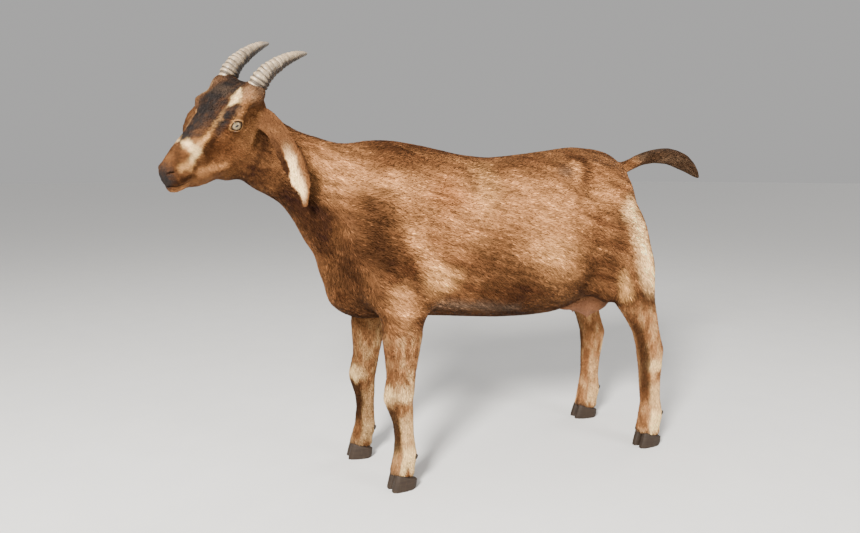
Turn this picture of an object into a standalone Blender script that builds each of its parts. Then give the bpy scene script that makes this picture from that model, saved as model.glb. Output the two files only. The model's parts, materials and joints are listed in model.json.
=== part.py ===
"""A standing doe goat, life size, as a museum model: short coat, swept horns, lop ears, raised tail.

Metres, +Z up. The goat faces -Y, its left side is +X, and its soles lie at Z = 0.
The flesh is built whole, from lofts along the body's lines and from rounded masses. It is
fused, smoothed and then parted with thin cuts where a person would name the parts. Ears,
horns, eyes, udder, hooves and dewclaws are solids of their own, fitted to the flesh.
"""

import math

import bmesh
import bpy
import numpy as np
from mathutils import Matrix, Vector

# Driving sizes, in metres and degrees.
FORE_X = 0.099
HIND_X = 0.115
FORE_Y = -0.306
HIND_Y = 0.352
# How far each foot stands back of its fellow, and how high up the leg that lean begins.
FORE_STEP = {"left": 0.0, "right": -0.036}
HIND_STEP = {"left": 0.0, "right": -0.028}
FORE_TOP = 0.47
HIND_TOP = 0.46

HEAD_AT = Vector((0.016, -0.593, 0.817))
HEAD_TURN = 32.0
HEAD_DROP = 23.0
HEAD_TILT = 16.5

EYE_RADIUS = 0.0142
EYE_CENTRE = Vector((0.0415, -0.0836, 0.0068))

HOOF_TOP = 0.037
HOOF_SLOPE = -12.0
HOOF_HEEL = 0.034
TOE_OUT = 7.0
TOE_APART = 0.013

GAP = 0.0004
VOXEL = 0.0046
FLESH_TRIANGLES = 4000
HEAD_FINENESS = 13000

NAME = "goat"
SIDES = {"left": 1, "right": -1}

COLOURS = {
    "brown_coat": (0.235, 0.118, 0.058),
    "face_coat": (0.200, 0.105, 0.060),
    "leg_coat": (0.330, 0.200, 0.115),
    "udder_skin": (0.420, 0.240, 0.170),
    "tail_coat": (0.110, 0.065, 0.042),
    "horn": (0.330, 0.270, 0.195),
    "hoof": (0.050, 0.036, 0.028),
    "eye": (0.480, 0.440, 0.340),
}
ROUGHNESS = {"horn": 0.45, "hoof": 0.40, "eye": 0.08}


def turned(x=0.0, y=0.0, z=0.0):
    """A turn of x, y and z degrees, taken in that order."""
    about_z = Matrix.Rotation(math.radians(z), 4, "Z")
    about_y = Matrix.Rotation(math.radians(y), 4, "Y")
    return about_z @ about_y @ Matrix.Rotation(math.radians(x), 4, "X")


HEAD = (
    Matrix.Translation(HEAD_AT)
    @ turned(z=HEAD_TURN)
    @ turned(x=HEAD_DROP)
    @ turned(y=HEAD_TILT)
)


def mirrored(side):
    return Matrix.Diagonal((SIDES[side], 1, 1, 1))


# Scene helpers ---------------------------------------------------------------------------


def clear_scene():
    for thing in list(bpy.data.objects):
        bpy.data.objects.remove(thing, do_unlink=True)


def material(name):
    made = bpy.data.materials.get(name) or bpy.data.materials.new(name)
    made.use_nodes = True
    shader = made.node_tree.nodes["Principled BSDF"]
    shader.inputs["Base Color"].default_value = (*COLOURS[name], 1.0)
    shader.inputs["Roughness"].default_value = ROUGHNESS.get(name, 0.7)
    shader.inputs["Metallic"].default_value = 0.0
    return made


def new_object(name, mesh):
    thing = bpy.data.objects.new(name, mesh)
    bpy.context.collection.objects.link(thing)
    return thing


def object_collection():
    """The collection that all the parts go in, made the active one."""
    made = bpy.data.collections.new(NAME)
    bpy.context.scene.collection.children.link(made)
    layer = bpy.context.view_layer.layer_collection.children[NAME]
    bpy.context.view_layer.active_layer_collection = layer


def only(thing):
    bpy.ops.object.select_all(action="DESELECT")
    thing.select_set(True)
    bpy.context.view_layer.objects.active = thing


def apply_modifiers(thing):
    only(thing)
    for modifier in list(thing.modifiers):
        bpy.ops.object.modifier_apply(modifier=modifier.name)


def joined(things):
    only(things[0])
    for thing in things:
        thing.select_set(True)
    bpy.ops.object.join()
    return things[0]


def copied(thing, name):
    return new_object(name, thing.data.copy())


def points_of(thing):
    points = np.empty(len(thing.data.vertices) * 3)
    thing.data.vertices.foreach_get("co", points)
    return points.reshape(-1, 3)


def normals_of(thing):
    normals = np.empty(len(thing.data.vertices) * 3, np.float32)
    thing.data.vertices.foreach_get("normal", normals)
    return normals.reshape(-1, 3)


def set_points(thing, points):
    thing.data.vertices.foreach_set("co", points.ravel())
    thing.data.update()


def cut_away(thing, cutter, operation="DIFFERENCE"):
    """Cuts thing by cutter, and removes the cutter."""
    boolean = thing.modifiers.new("cut", "BOOLEAN")
    boolean.operation = operation
    boolean.solver = "EXACT"
    boolean.object = cutter
    apply_modifiers(thing)
    bpy.data.objects.remove(cutter, do_unlink=True)


# Shapes ----------------------------------------------------------------------------------


def eased(rows, per_gap):
    """The rows with per_gap steps between each pair, on a Catmull-Rom curve through them."""
    rows = np.array(rows, float)
    ends = np.vstack([2 * rows[0] - rows[1], rows, 2 * rows[-1] - rows[-2]])
    made = []
    for a, b, c, d in zip(ends, ends[1:], ends[2:], ends[3:]):
        for t in np.arange(per_gap) / per_gap:
            bend = 2 * a - 5 * b + 4 * c - d
            twist = 3 * (b - c) + d - a
            made.append(b + 0.5 * t * (c - a + t * (bend + t * twist)))
    return np.array([*made, rows[-1]])


def loft(name, rows, across=(1, 0, 0), along=None, power=2.2, taper=0.0, cup=0.0, sides=20,
         per_gap=3, place=Matrix()):
    """A closed tube of super-ellipses through rows of (x, y, z, half width, up, down).

    A section stands square to the line of centres, or square to along. Its half width lies
    along across. Up is +Z on a tube that runs back, and +Y on a tube that runs down.
    taper widens a section's top, and cup curls its sides up."""
    rows = eased(rows, per_gap)
    steps = np.gradient(rows[:, :3], axis=0)
    shape = bmesh.new()
    rings = []
    for row, step in zip(rows, steps):
        way = Vector(along or step).normalized()
        side = Vector(across)
        side = (side - way * side.dot(way)).normalized()
        rise = side.cross(way)
        wide, up, down = np.maximum(row[3:], 0.0005)
        ring = []
        for turn in np.arange(sides) * 2 * math.pi / sides:
            c, s = math.cos(turn), math.sin(turn)
            out = math.copysign(abs(c) ** (2 / power), c)
            high = math.copysign(abs(s) ** (2 / power), s)
            x = out * wide * (1 + taper * high)
            z = high * (up if s > 0 else down) + cup * wide * out**2
            ring.append(shape.verts.new(place @ (Vector(row[:3]) + side * x + rise * z)))
        rings.append(ring)
    for low, high in zip(rings, rings[1:]):
        for i in range(sides):
            j = (i + 1) % sides
            shape.faces.new((low[i], low[j], high[j], high[i]))
    shape.faces.new(rings[0][::-1])
    shape.faces.new(rings[-1])
    bmesh.ops.recalc_face_normals(shape, faces=shape.faces)
    mesh = bpy.data.meshes.new(name)
    shape.to_mesh(mesh)
    shape.free()
    return new_object(name, mesh)


def ball(name, place, segments=20, rings=12):
    """A unit sphere under the matrix place."""
    bpy.ops.mesh.primitive_uv_sphere_add(segments=segments, ring_count=rings, radius=1.0)
    made = bpy.context.object
    made.name = name
    made.data.transform(place)
    if place.determinant() < 0:
        made.data.flip_normals()
    return made


def masses(name, rows, place=Matrix()):
    """Rounded masses of flesh or bone, both sides, from (centre, radii, turn) rows."""
    made = []
    for side in SIDES:
        for centre, radii, turn in rows:
            if centre[0] == 0 and side == "right":
                continue
            own = Matrix.Translation(centre) @ turned(*turn) @ Matrix.Diagonal((*radii, 1))
            made.append(ball(name, place @ mirrored(side) @ own))
    return made


def slab(centre, normal, width, height, across=(1, 0, 0), thick=GAP):
    """A thin box square to normal, width wide along across."""
    bpy.ops.mesh.primitive_cube_add(size=1.0)
    made = bpy.context.object
    made.name = "cut"
    normal = Vector(normal).normalized()
    across = Vector(across)
    across = (across - normal * across.dot(normal)).normalized()
    axes = Matrix((across, normal.cross(across), normal)).transposed().to_4x4()
    made.data.transform(
        Matrix.Translation(centre) @ axes @ Matrix.Diagonal((width, height, thick, 1))
    )
    return made


# Flesh -----------------------------------------------------------------------------------


def trunk():
    """The barrel, from the breast to the pin bones, with shoulders and hips over it."""
    barrel = [
        (0, -0.448, 0.540, 0.040, 0.045, 0.045),
        (0, -0.430, 0.535, 0.072, 0.110, 0.090),
        (0, -0.395, 0.530, 0.094, 0.215, 0.136),
        (0, -0.350, 0.522, 0.106, 0.234, 0.150),
        (0, -0.300, 0.516, 0.114, 0.246, 0.152),
        (0, -0.220, 0.505, 0.128, 0.245, 0.144),
        (0, -0.140, 0.500, 0.143, 0.233, 0.147),
        (0, -0.060, 0.495, 0.156, 0.230, 0.149),
        (0, 0.020, 0.495, 0.162, 0.237, 0.152),
        (0, 0.100, 0.505, 0.159, 0.237, 0.158),
        (0, 0.170, 0.525, 0.144, 0.226, 0.156),
        (0, 0.230, 0.555, 0.124, 0.191, 0.146),
        (0, 0.270, 0.588, 0.102, 0.150, 0.130),
        (0, 0.300, 0.612, 0.076, 0.106, 0.098),
        (0, 0.322, 0.632, 0.046, 0.068, 0.064),
    ]
    made = [loft("barrel", barrel, along=(0, 1, 0), power=2.25, taper=-0.10, sides=28)]
    made += masses(
        "bulk",
        [
            # Shoulder blade, its point, upper arm and elbow.
            ((0.066, -0.318, 0.655), (0.040, 0.058, 0.100), (-14, -12, 0)),
            ((0.080, -0.380, 0.540), (0.040, 0.054, 0.085), (20, 0, 0)),
            ((0.092, -0.330, 0.460), (0.044, 0.068, 0.080), (0, 0, 0)),
            ((0.100, -0.270, 0.415), (0.031, 0.036, 0.052), (0, 0, 0)),
            # Breast bone.
            ((0, -0.422, 0.510), (0.056, 0.046, 0.080), (0, 0, 0)),
            ((0, -0.400, 0.440), (0.056, 0.050, 0.060), (0, 0, 0)),
            ((0, -0.345, 0.415), (0.055, 0.090, 0.054), (0, 0, 0)),
            # Withers and spine.
            ((0, -0.330, 0.708), (0.036, 0.100, 0.056), (0, 0, 0)),
            ((0, 0.200, 0.694), (0.040, 0.120, 0.056), (0, 0, 0)),
            # Hook bone, hip and pin bone.
            ((0.080, 0.160, 0.690), (0.030, 0.052, 0.036), (0, 20, 0)),
            ((0.088, 0.222, 0.615), (0.047, 0.080, 0.095), (0, 0, 0)),
            ((0.040, 0.292, 0.664), (0.026, 0.034, 0.040), (0, 0, 0)),
            # Thigh: its muscle in front, the hamstring behind, and the stifle.
            ((0.100, 0.222, 0.510), (0.053, 0.085, 0.125), (6, 4, 0)),
            ((0.084, 0.292, 0.515), (0.048, 0.058, 0.125), (12, 0, 0)),
            ((0.112, 0.210, 0.440), (0.040, 0.050, 0.070), (0, 0, 0)),
            ((0.100, 0.304, 0.445), (0.040, 0.056, 0.090), (0, 0, 0)),
        ],
    )
    return made


def neck():
    """The neck, from inside the back of the skull down to the withers and the breast."""
    start = HEAD @ Vector((0, -0.026, -0.048))
    rows = [
        (*start, 0.041, 0.048, 0.074),
        (0.004, -0.571, 0.742, 0.047, 0.070, 0.082),
        (0.002, -0.540, 0.712, 0.053, 0.078, 0.077),
        (0, -0.500, 0.690, 0.060, 0.088, 0.078),
        (0, -0.462, 0.664, 0.070, 0.108, 0.092),
        (0, -0.425, 0.638, 0.084, 0.145, 0.116),
        (0, -0.385, 0.612, 0.096, 0.167, 0.135),
        (0, -0.330, 0.590, 0.100, 0.170, 0.145),
    ]
    return [loft("neck", rows, power=2.1, taper=-0.10, sides=24)]


def head():
    """The skull with the muzzle, brows, cheeks and lips."""
    rows = [
        (0, -0.2340, -0.050, 0.009, 0.011, 0.013),
        (0, -0.2290, -0.051, 0.016, 0.020, 0.024),
        (0, -0.2170, -0.052, 0.0205, 0.031, 0.033),
        (0, -0.2020, -0.052, 0.0220, 0.042, 0.037),
        (0, -0.1780, -0.048, 0.0225, 0.052, 0.043),
        (0, -0.1500, -0.043, 0.0245, 0.062, 0.051),
        (0, -0.1200, -0.037, 0.0300, 0.076, 0.060),
        (0, -0.0900, -0.031, 0.0380, 0.088, 0.067),
        (0, -0.0600, -0.026, 0.0440, 0.092, 0.073),
        (0, -0.0300, -0.022, 0.0460, 0.088, 0.072),
        (0, -0.0050, -0.020, 0.0440, 0.076, 0.066),
        (0, 0.0150, -0.026, 0.0380, 0.046, 0.054),
    ]
    made = [
        loft("skull", rows, along=(0, 1, 0), power=2.4, taper=0.16, sides=24, place=HEAD)
    ]
    made += masses(
        "feature",
        [
            # Orbit, brow, horn root and cheekbone.
            ((0.0340, -0.080, 0.009), (0.0195, 0.028, 0.023), (0, 0, 0)),
            ((0.0380, -0.068, 0.033), (0.0205, 0.038, 0.016), (0, 14, 0)),
            ((0.0345, -0.028, 0.044), (0.0250, 0.034, 0.0255), (0, 0, 0)),
            ((0.0360, -0.052, -0.008), (0.0140, 0.036, 0.012), (0, 0, 0)),
            # Cheek muscle, the jaw's edge, and the throat between the jaws.
            ((0.0270, -0.056, -0.050), (0.0160, 0.036, 0.044), (0, 0, 0)),
            ((0.0190, -0.120, -0.076), (0.0100, 0.070, 0.014), (-3, 0, 0)),
            ((0, -0.145, -0.081), (0.0190, 0.066, 0.024), (-7, 0, 0)),
            ((0, -0.070, -0.090), (0.0300, 0.060, 0.038), (-10, 0, 0)),
            # Upper lip, nostril wing, lower lip and chin.
            ((0.0140, -0.198, -0.055), (0.0130, 0.034, 0.018), (0, 0, 0)),
            ((0.0110, -0.222, -0.042), (0.0100, 0.013, 0.013), (0, 0, 0)),
            ((0, -0.206, -0.079), (0.0175, 0.027, 0.0115), (0, 0, 0)),
        ],
        HEAD,
    )
    return made


def stride(step, top, high):
    """How far the leg leans along Y at a height, none at top and all of it on the floor."""
    return step * max(0.0, 1 - high / top)


def leg(name, rows, side, foot_x, step, top):
    """One leg down to its hoof. rows give (x, y, z, half width, back, front), top first."""
    made = []
    for x, y, z, wide, back, front in rows:
        made.append((x + foot_x, y + stride(step[side], top, z), z, wide, back, front))
    return loft(name, made, along=(0, 0, -1), power=2.2, place=mirrored(side), per_gap=3)


def legs():
    fore = [
        (-0.004, -0.315, 0.470, 0.040, 0.056, 0.056),
        (0.002, -0.310, 0.420, 0.038, 0.058, 0.054),
        (0.003, -0.306, 0.385, 0.035, 0.054, 0.050),
        (0.002, -0.308, 0.340, 0.031, 0.048, 0.046),
        (0.001, -0.310, 0.300, 0.028, 0.043, 0.038),
        (0.000, -0.312, 0.260, 0.026, 0.038, 0.034),
        (0.000, -0.315, 0.225, 0.028, 0.037, 0.033),
        (0.000, -0.316, 0.203, 0.028, 0.033, 0.033),
        (0.000, -0.312, 0.182, 0.0255, 0.030, 0.031),
        (0.000, -0.307, 0.155, 0.021, 0.027, 0.026),
        (0.000, -0.304, 0.120, 0.0195, 0.0255, 0.0245),
        (0.000, -0.303, 0.092, 0.021, 0.027, 0.025),
        (0.000, -0.304, 0.072, 0.0235, 0.030, 0.026),
        (0.000, -0.309, 0.052, 0.0225, 0.030, 0.0265),
        (0.000, -0.312, 0.034, 0.0235, 0.031, 0.0275),
        (0.000, -0.315, 0.016, 0.0235, 0.031, 0.028),
    ]
    hind = [
        (-0.018, 0.262, 0.460, 0.044, 0.088, 0.080),
        (-0.010, 0.280, 0.412, 0.040, 0.078, 0.078),
        (-0.004, 0.300, 0.370, 0.034, 0.056, 0.060),
        (0.000, 0.315, 0.335, 0.031, 0.044, 0.048),
        (0.000, 0.330, 0.300, 0.0285, 0.038, 0.039),
        (-0.002, 0.341, 0.270, 0.0275, 0.038, 0.037),
        (-0.004, 0.347, 0.246, 0.0285, 0.040, 0.035),
        (-0.004, 0.350, 0.220, 0.0265, 0.036, 0.033),
        (-0.003, 0.351, 0.190, 0.0235, 0.033, 0.031),
        (-0.002, 0.352, 0.150, 0.0220, 0.031, 0.0295),
        (0.000, 0.354, 0.115, 0.0225, 0.031, 0.0295),
        (0.000, 0.355, 0.088, 0.0250, 0.034, 0.0305),
        (0.000, 0.353, 0.066, 0.0245, 0.034, 0.031),
        (0.000, 0.350, 0.045, 0.0245, 0.034, 0.033),
        (0.000, 0.348, 0.028, 0.0250, 0.035, 0.034),
        (0.000, 0.346, 0.012, 0.0250, 0.035, 0.034),
    ]
    made = []
    for side in SIDES:
        made.append(leg("foreleg", fore, side, FORE_X, FORE_STEP, FORE_TOP))
        made.append(leg("hindleg", hind, side, HIND_X, HIND_STEP, HIND_TOP))
    return made


def tail():
    """A flat tail, carried up and over, broad in the middle."""
    rows = [
        (0, 0.310, 0.690, 0.024, 0.020, 0.024),
        (0, 0.345, 0.704, 0.021, 0.017, 0.022),
        (0, 0.385, 0.718, 0.020, 0.018, 0.019),
        (0, 0.430, 0.727, 0.020, 0.021, 0.022),
        (0, 0.475, 0.727, 0.019, 0.024, 0.025),
        (0, 0.515, 0.716, 0.017, 0.026, 0.026),
        (0, 0.548, 0.699, 0.013, 0.023, 0.022),
        (0, 0.574, 0.679, 0.009, 0.014, 0.014),
        (0, 0.588, 0.665, 0.004, 0.005, 0.005),
    ]
    return [loft("tail", rows, power=2.1, sides=16)]


def soften(body):
    """Smooths the fused flesh, and much more over the trunk, neck and thighs."""
    back = HEAD.inverted()
    broad = body.vertex_groups.new(name="broad")
    for vertex in body.data.vertices:
        at = back @ vertex.co
        head_side = min(max((at.y + 0.02) / 0.08, 0.0), 1.0)
        leg_side = min(max((vertex.co.z - 0.31) / 0.10, 0.0), 1.0)
        tail_side = min(max((0.37 - vertex.co.y) / 0.05, 0.0), 1.0)
        broad.add([vertex.index], head_side * leg_side * tail_side, "REPLACE")
    for group, times in (("", 8), ("broad", 50)):
        smooth = body.modifiers.new("smooth", "SMOOTH")
        smooth.factor = 0.5
        smooth.iterations = times
        smooth.vertex_group = group
    apply_modifiers(body)
    body.vertex_groups.clear()


def press(thing, centre, radius, depth, both=True):
    """Moves the skin near centre in by depth along its normals, or out where depth is negative."""
    points = points_of(thing)
    normals = normals_of(thing)
    radius = np.array(radius)
    for sign in (1, -1) if both else (1,):
        away = (points - np.array(centre) * (sign, 1, 1)) / radius
        near = np.clip(1 - np.linalg.norm(away, axis=1), 0, 1)
        points -= normals * (depth * near * near * (3 - 2 * near))[:, None]
    set_points(thing, points)


def press_head(thing, centre, radius, depth):
    """press on both sides of the head, at a place given in the head's own axes."""
    for side in SIDES:
        spot = HEAD @ mirrored(side) @ Vector(centre)
        press(thing, spot, (radius,) * 3, depth, both=False)


def flesh():
    """Trunk, neck, head, legs and tail as one smooth closed body."""
    body = joined([*trunk(), *neck(), *head(), *legs(), *tail()])
    body.name = "flesh"
    remesh = body.modifiers.new("fuse", "REMESH")
    remesh.mode = "VOXEL"
    remesh.voxel_size = VOXEL
    apply_modifiers(body)
    soften(body)

    # Hollows of the flank, behind the shoulder, in the neck's groove and inside the thigh.
    press(body, (0.115, 0.115, 0.645), (0.08, 0.07, 0.075), 0.010)
    press(body, (0.120, -0.225, 0.560), (0.06, 0.05, 0.13), 0.008)
    press(body, (0.060, -0.460, 0.590), (0.05, 0.05, 0.07), 0.008)
    press(body, (0.130, 0.150, 0.440), (0.05, 0.04, 0.06), 0.008)
    # Hollows in front of the eye, over the cheek and behind the brow.
    press_head(body, (0.030, -0.118, 0.004), 0.030, 0.004)
    press_head(body, (0.030, -0.128, -0.050), 0.034, 0.004)
    press_head(body, (0.040, -0.045, 0.020), 0.026, 0.004)
    return body


def thin_out(thing):
    """Fewer triangles: first over all, and then again everywhere but on the head."""
    back = HEAD.inverted()
    for triangles, group in ((HEAD_FINENESS, ""), (FLESH_TRIANGLES, "others")):
        others = thing.vertex_groups.new(name="others")
        for vertex in thing.data.vertices:
            at = back @ vertex.co
            if at.y > 0.01 or abs(at.x) > 0.08 or at.z < -0.12:
                others.add([vertex.index], 1.0, "REPLACE")
        thing.data.calc_loop_triangles()
        decimate = thing.modifiers.new("thin", "DECIMATE")
        decimate.ratio = triangles / len(thing.data.loop_triangles)
        decimate.vertex_group = group
        apply_modifiers(thing)
        thing.vertex_groups.clear()
    thing.modifiers.new("triangles", "TRIANGULATE")
    apply_modifiers(thing)


# Fitted pieces ---------------------------------------------------------------------------


def ears():
    """Long lop ears: the left one hangs back along the neck, the right one swings forward."""
    left = [
        (0.042, -0.594, 0.798, 0.020, 0.009, 0.009),
        (0.066, -0.575, 0.791, 0.023, 0.006, 0.007),
        (0.083, -0.559, 0.774, 0.022, 0.003, 0.004),
        (0.092, -0.540, 0.738, 0.024, 0.002, 0.003),
        (0.094, -0.526, 0.706, 0.027, 0.002, 0.003),
        (0.092, -0.515, 0.676, 0.023, 0.002, 0.003),
        (0.089, -0.508, 0.646, 0.014, 0.002, 0.003),
        (0.087, -0.506, 0.619, 0.004, 0.002, 0.002),
    ]
    right = [
        (-0.034, -0.020, 0.003, 0.020, 0.009, 0.009),
        (-0.062, -0.032, -0.001, 0.023, 0.006, 0.007),
        (-0.088, -0.050, -0.013, 0.022, 0.003, 0.004),
        (-0.107, -0.067, -0.038, 0.024, 0.002, 0.003),
        (-0.112, -0.084, -0.073, 0.027, 0.002, 0.003),
        (-0.108, -0.097, -0.106, 0.023, 0.002, 0.003),
        (-0.100, -0.107, -0.134, 0.014, 0.002, 0.003),
        (-0.094, -0.113, -0.157, 0.004, 0.002, 0.002),
    ]
    made = {"left": loft("ear_left", left, across=(0.25, 0.60, 0.75), cup=-0.30, sides=8,
                         per_gap=2)}
    made["right"] = loft("ear_right", right, across=(-0.36, 0.64, 0.67), cup=0.30, sides=8,
                         per_gap=2, place=HEAD)
    return made


def horn(side):
    """A horn swept up and back, with worn growth rings."""
    rows = [
        (0.0360, -0.0280, 0.040, 0.0190, 0.0265, 0.0265),
        (0.0385, -0.0120, 0.058, 0.0178, 0.0240, 0.0240),
        (0.0415, 0.0140, 0.0760, 0.0145, 0.0180, 0.0185),
        (0.0445, 0.0550, 0.0860, 0.0115, 0.0140, 0.0145),
        (0.0485, 0.0920, 0.0880, 0.0085, 0.0100, 0.0105),
        (0.0515, 0.1220, 0.0845, 0.0040, 0.0045, 0.0045),
    ]
    fine = eased(rows, 3)
    fine[:-1, 3:] *= 1 + 0.035 * np.cos(np.arange(len(fine) - 1) * math.pi)[:, None]
    return loft(f"horn_{side}", fine, power=2.1, sides=9, per_gap=1, place=HEAD @ mirrored(side))


def eye(side, extra=0.0):
    centre = HEAD @ mirrored(side) @ Vector(EYE_CENTRE)
    place = Matrix.Translation(centre) @ HEAD.to_3x3().to_4x4() @ mirrored(side)
    size = Matrix.Diagonal((*(3 * [EYE_RADIUS + extra]), 1))
    return ball(f"eye_{side}", place @ turned(y=90) @ size, segments=12, rings=8)


def udder():
    """A small udder with two teats, tucked up between the thighs."""
    rows = [
        ((0.026, 0.218, 0.390), (0.046, 0.070, 0.058), (0, 0, 0)),
        ((0.022, 0.160, 0.374), (0.034, 0.050, 0.028), (0, 0, 0)),
        ((0.026, 0.280, 0.408), (0.030, 0.045, 0.048), (0, 0, 0)),
        ((0.030, 0.212, 0.340), (0.008, 0.009, 0.020), (10, -12, 0)),
    ]
    made = joined(masses("udder", rows))
    remesh = made.modifiers.new("fuse", "REMESH")
    remesh.mode = "VOXEL"
    remesh.voxel_size = VOXEL
    smooth = made.modifiers.new("smooth", "SMOOTH")
    smooth.iterations = 3
    decimate = made.modifiers.new("thin", "DECIMATE")
    decimate.ratio = 0.024
    apply_modifiers(made)
    return made


def leg_line(name, high):
    """The middle of a leg at a height, from the foot's own x and y."""
    end, side = name.split("_")
    x, y, step, top = {
        "fore": (FORE_X, FORE_Y, FORE_STEP, FORE_TOP),
        "hind": (HIND_X, HIND_Y, HIND_STEP, HIND_TOP),
    }[end]
    return Vector((SIDES[side] * x, y + stride(step[side], top, high), high))


def feet():
    """Each foot's name, the sign of its side, and its place on the floor."""
    names = [f"{end}_{side}" for side in SIDES for end in ("fore", "hind")]
    return [(name, SIDES[name.split("_")[1]], leg_line(name, 0.0)) for name in names]


def coronet(at, above):
    """The sloping plane where hoof meets hair, as (point, normal)."""
    normal = turned(x=HOOF_SLOPE) @ Vector((0, 0, 1))
    return Vector((at.x, at.y - HOOF_HEEL, HOOF_TOP + above)), normal


def claw(name, sign, at, inner, length):
    """Half of a cloven hoof: a flat sole, a sloping front wall and a flat inner face."""
    rows = [
        (0, -0.0060, 0.000, 0.0118, 0.0310, 0.0290),
        (0, -0.0052, 0.006, 0.0124, 0.0308, 0.0315),
        (0, -0.0035, 0.021, 0.0122, 0.0282, 0.0316),
        (0, -0.0005, 0.042, 0.0116, 0.0245, 0.0300),
    ]
    place = Matrix.Translation(at) @ turned(z=sign * TOE_OUT)
    place = place @ Matrix.Translation((inner * TOE_APART, 0, 0))
    place = place @ turned(z=-inner * 3) @ Matrix.Diagonal((1, length, 1, 1))
    made = loft(name, rows, along=(0, 0, 1), power=2.6, sides=10, per_gap=1, place=place)
    point, normal = coronet(at, -GAP)
    shape = bmesh.new()
    shape.from_mesh(made.data)
    geometry = [*shape.verts, *shape.edges, *shape.faces]
    found = bmesh.ops.bisect_plane(
        shape, geom=geometry, plane_co=point, plane_no=normal, clear_outer=True, dist=1e-6
    )
    edges = [item for item in found["geom_cut"] if isinstance(item, bmesh.types.BMEdge)]
    bmesh.ops.contextual_create(shape, geom=edges)
    shape.to_mesh(made.data)
    shape.free()
    return made


def dewclaw(foot, which, side):
    """A small claw behind the fetlock."""
    high, behind = (0.070, 0.028) if foot.startswith("fore") else (0.082, 0.033)
    centre = leg_line(foot, high) + Vector((side * 0.0150, behind, 0))
    turn = turned(x=-28, y=side * 14)
    size = Matrix.Diagonal((0.0058, 0.0062, 0.0095, 1))
    name = f"dewclaw_{foot}_{which}"
    return ball(name, Matrix.Translation(centre) @ turn @ size, segments=7, rings=4)


# Parting ---------------------------------------------------------------------------------


def largest_part(thing):
    """Deletes the crumbs that a cut leaves, and keeps the body."""
    parts = loose_parts(thing)
    parts.sort(key=lambda part: -volume_and_centre(part)[0])
    for crumb in parts[1:]:
        bpy.data.objects.remove(crumb, do_unlink=True)
    return parts[0]


def inflated(thing, by):
    made = copied(thing, "inflated")
    set_points(made, points_of(made) + normals_of(made) * by)
    return made


def cuts():
    """The thin cuts that part the flesh."""
    made = [
        slab(HEAD @ Vector((0, -0.004, -0.03)), HEAD.to_3x3() @ Vector((0, 0.94, -0.34)),
             0.22, 0.30),
        slab((0, -0.424, 0.63), (0, -0.94, 0.343), 0.30, 0.40),
        slab((0, 0.368, 0.70), (0, 0.95, 0.30), 0.09, 0.11),
        slab((0, 0.262, 0.475), (0, -0.75, 0.66), 0.40, 0.36),
    ]
    for name, _, at in feet():
        for high in (0.350, 0.204, 0.072) if name.startswith("fore") else (0.368, 0.245, 0.086):
            above_joint = (at.x, 0.30, high) if high == 0.368 else leg_line(name, high)
            made.append(slab(above_joint, (0, 0, 1), 0.085, 0.15))
    return made


def trims():
    """Boxes that end each leg at its coronet."""
    deep = 0.05
    made = []
    for _, _, at in feet():
        point, normal = coronet(at, 0.0)
        back = turned(x=HOOF_SLOPE) @ Vector((0, HOOF_HEEL, 0))
        made.append(slab(point + back - normal * deep / 2, normal, 0.09, 0.20, thick=deep))
    return made


def loose_parts(thing):
    only(thing)
    bpy.ops.object.mode_set(mode="EDIT")
    bpy.ops.mesh.select_all(action="SELECT")
    bpy.ops.mesh.separate(type="LOOSE")
    bpy.ops.object.mode_set(mode="OBJECT")
    return list(bpy.context.selected_objects)


def volume_and_centre(thing):
    shape = bmesh.new()
    shape.from_mesh(thing.data)
    bmesh.ops.triangulate(shape, faces=shape.faces)
    volume, moment = 0.0, Vector()
    for face in shape.faces:
        a, b, c = (vertex.co for vertex in face.verts)
        part = a.dot(b.cross(c)) / 6
        volume += part
        moment += (a + b + c) * part / 4
    shape.free()
    return volume, moment / volume if volume else Vector()


def flesh_names():
    """Each flesh node's name, material and rough middle."""
    made = {
        "head": ("face_coat", HEAD @ Vector((0, -0.10, -0.03))),
        "neck": ("brown_coat", Vector((0, -0.49, 0.68))),
        "trunk": ("brown_coat", Vector((0, -0.05, 0.55))),
        "tail": ("tail_coat", Vector((0, 0.47, 0.72))),
    }
    for side, sign in SIDES.items():
        for part, place in (
            ("foreleg_{}_forearm", (FORE_X, -0.312, 0.28)),
            ("foreleg_{}_cannon", (FORE_X, -0.306, 0.13)),
            ("foreleg_{}_pastern", (FORE_X, -0.310, 0.05)),
            ("hindleg_{}_thigh", (0.09, 0.265, 0.44)),
            ("hindleg_{}_gaskin", (HIND_X, 0.325, 0.30)),
            ("hindleg_{}_cannon", (HIND_X, 0.352, 0.16)),
            ("hindleg_{}_pastern", (HIND_X, 0.350, 0.06)),
        ):
            x, y, z = place
            coat = "brown_coat" if "thigh" in part else "leg_coat"
            made[part.format(side)] = (coat, Vector((sign * x, y, z)))
    return made


def part_flesh(body):
    """The flesh cut into its nodes, each named by the place of its middle."""
    for cutter in (*trims(), *cuts()):
        cut_away(body, cutter)
    middles = flesh_names()
    haunches = Vector((0, 0.29, 0.47))
    pieces = []
    for thing in loose_parts(body):
        if (volume_and_centre(thing)[1] - haunches).length < 0.05:
            cut_away(thing, slab(haunches, (1, 0, 0), 0.40, 0.50, across=(0, 1, 0)))
            pieces += loose_parts(thing)
        else:
            pieces.append(thing)
    found = {}
    for thing in pieces:
        volume, centre = volume_and_centre(thing)
        name = min(middles, key=lambda key: (middles[key][1] - centre).length)
        found.setdefault(name, []).append((volume, thing))
    made = []
    for name, things in found.items():
        things.sort(key=lambda item: -item[0])
        for _, crumb in things[1:]:
            bpy.data.objects.remove(crumb, do_unlink=True)
        made.append((name, things[0][1], middles[name][0]))
    return made


def finish(thing, name, coat):
    thing.name = name
    thing.data.name = name
    thing.data.materials.clear()
    thing.data.materials.append(material(coat))


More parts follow.
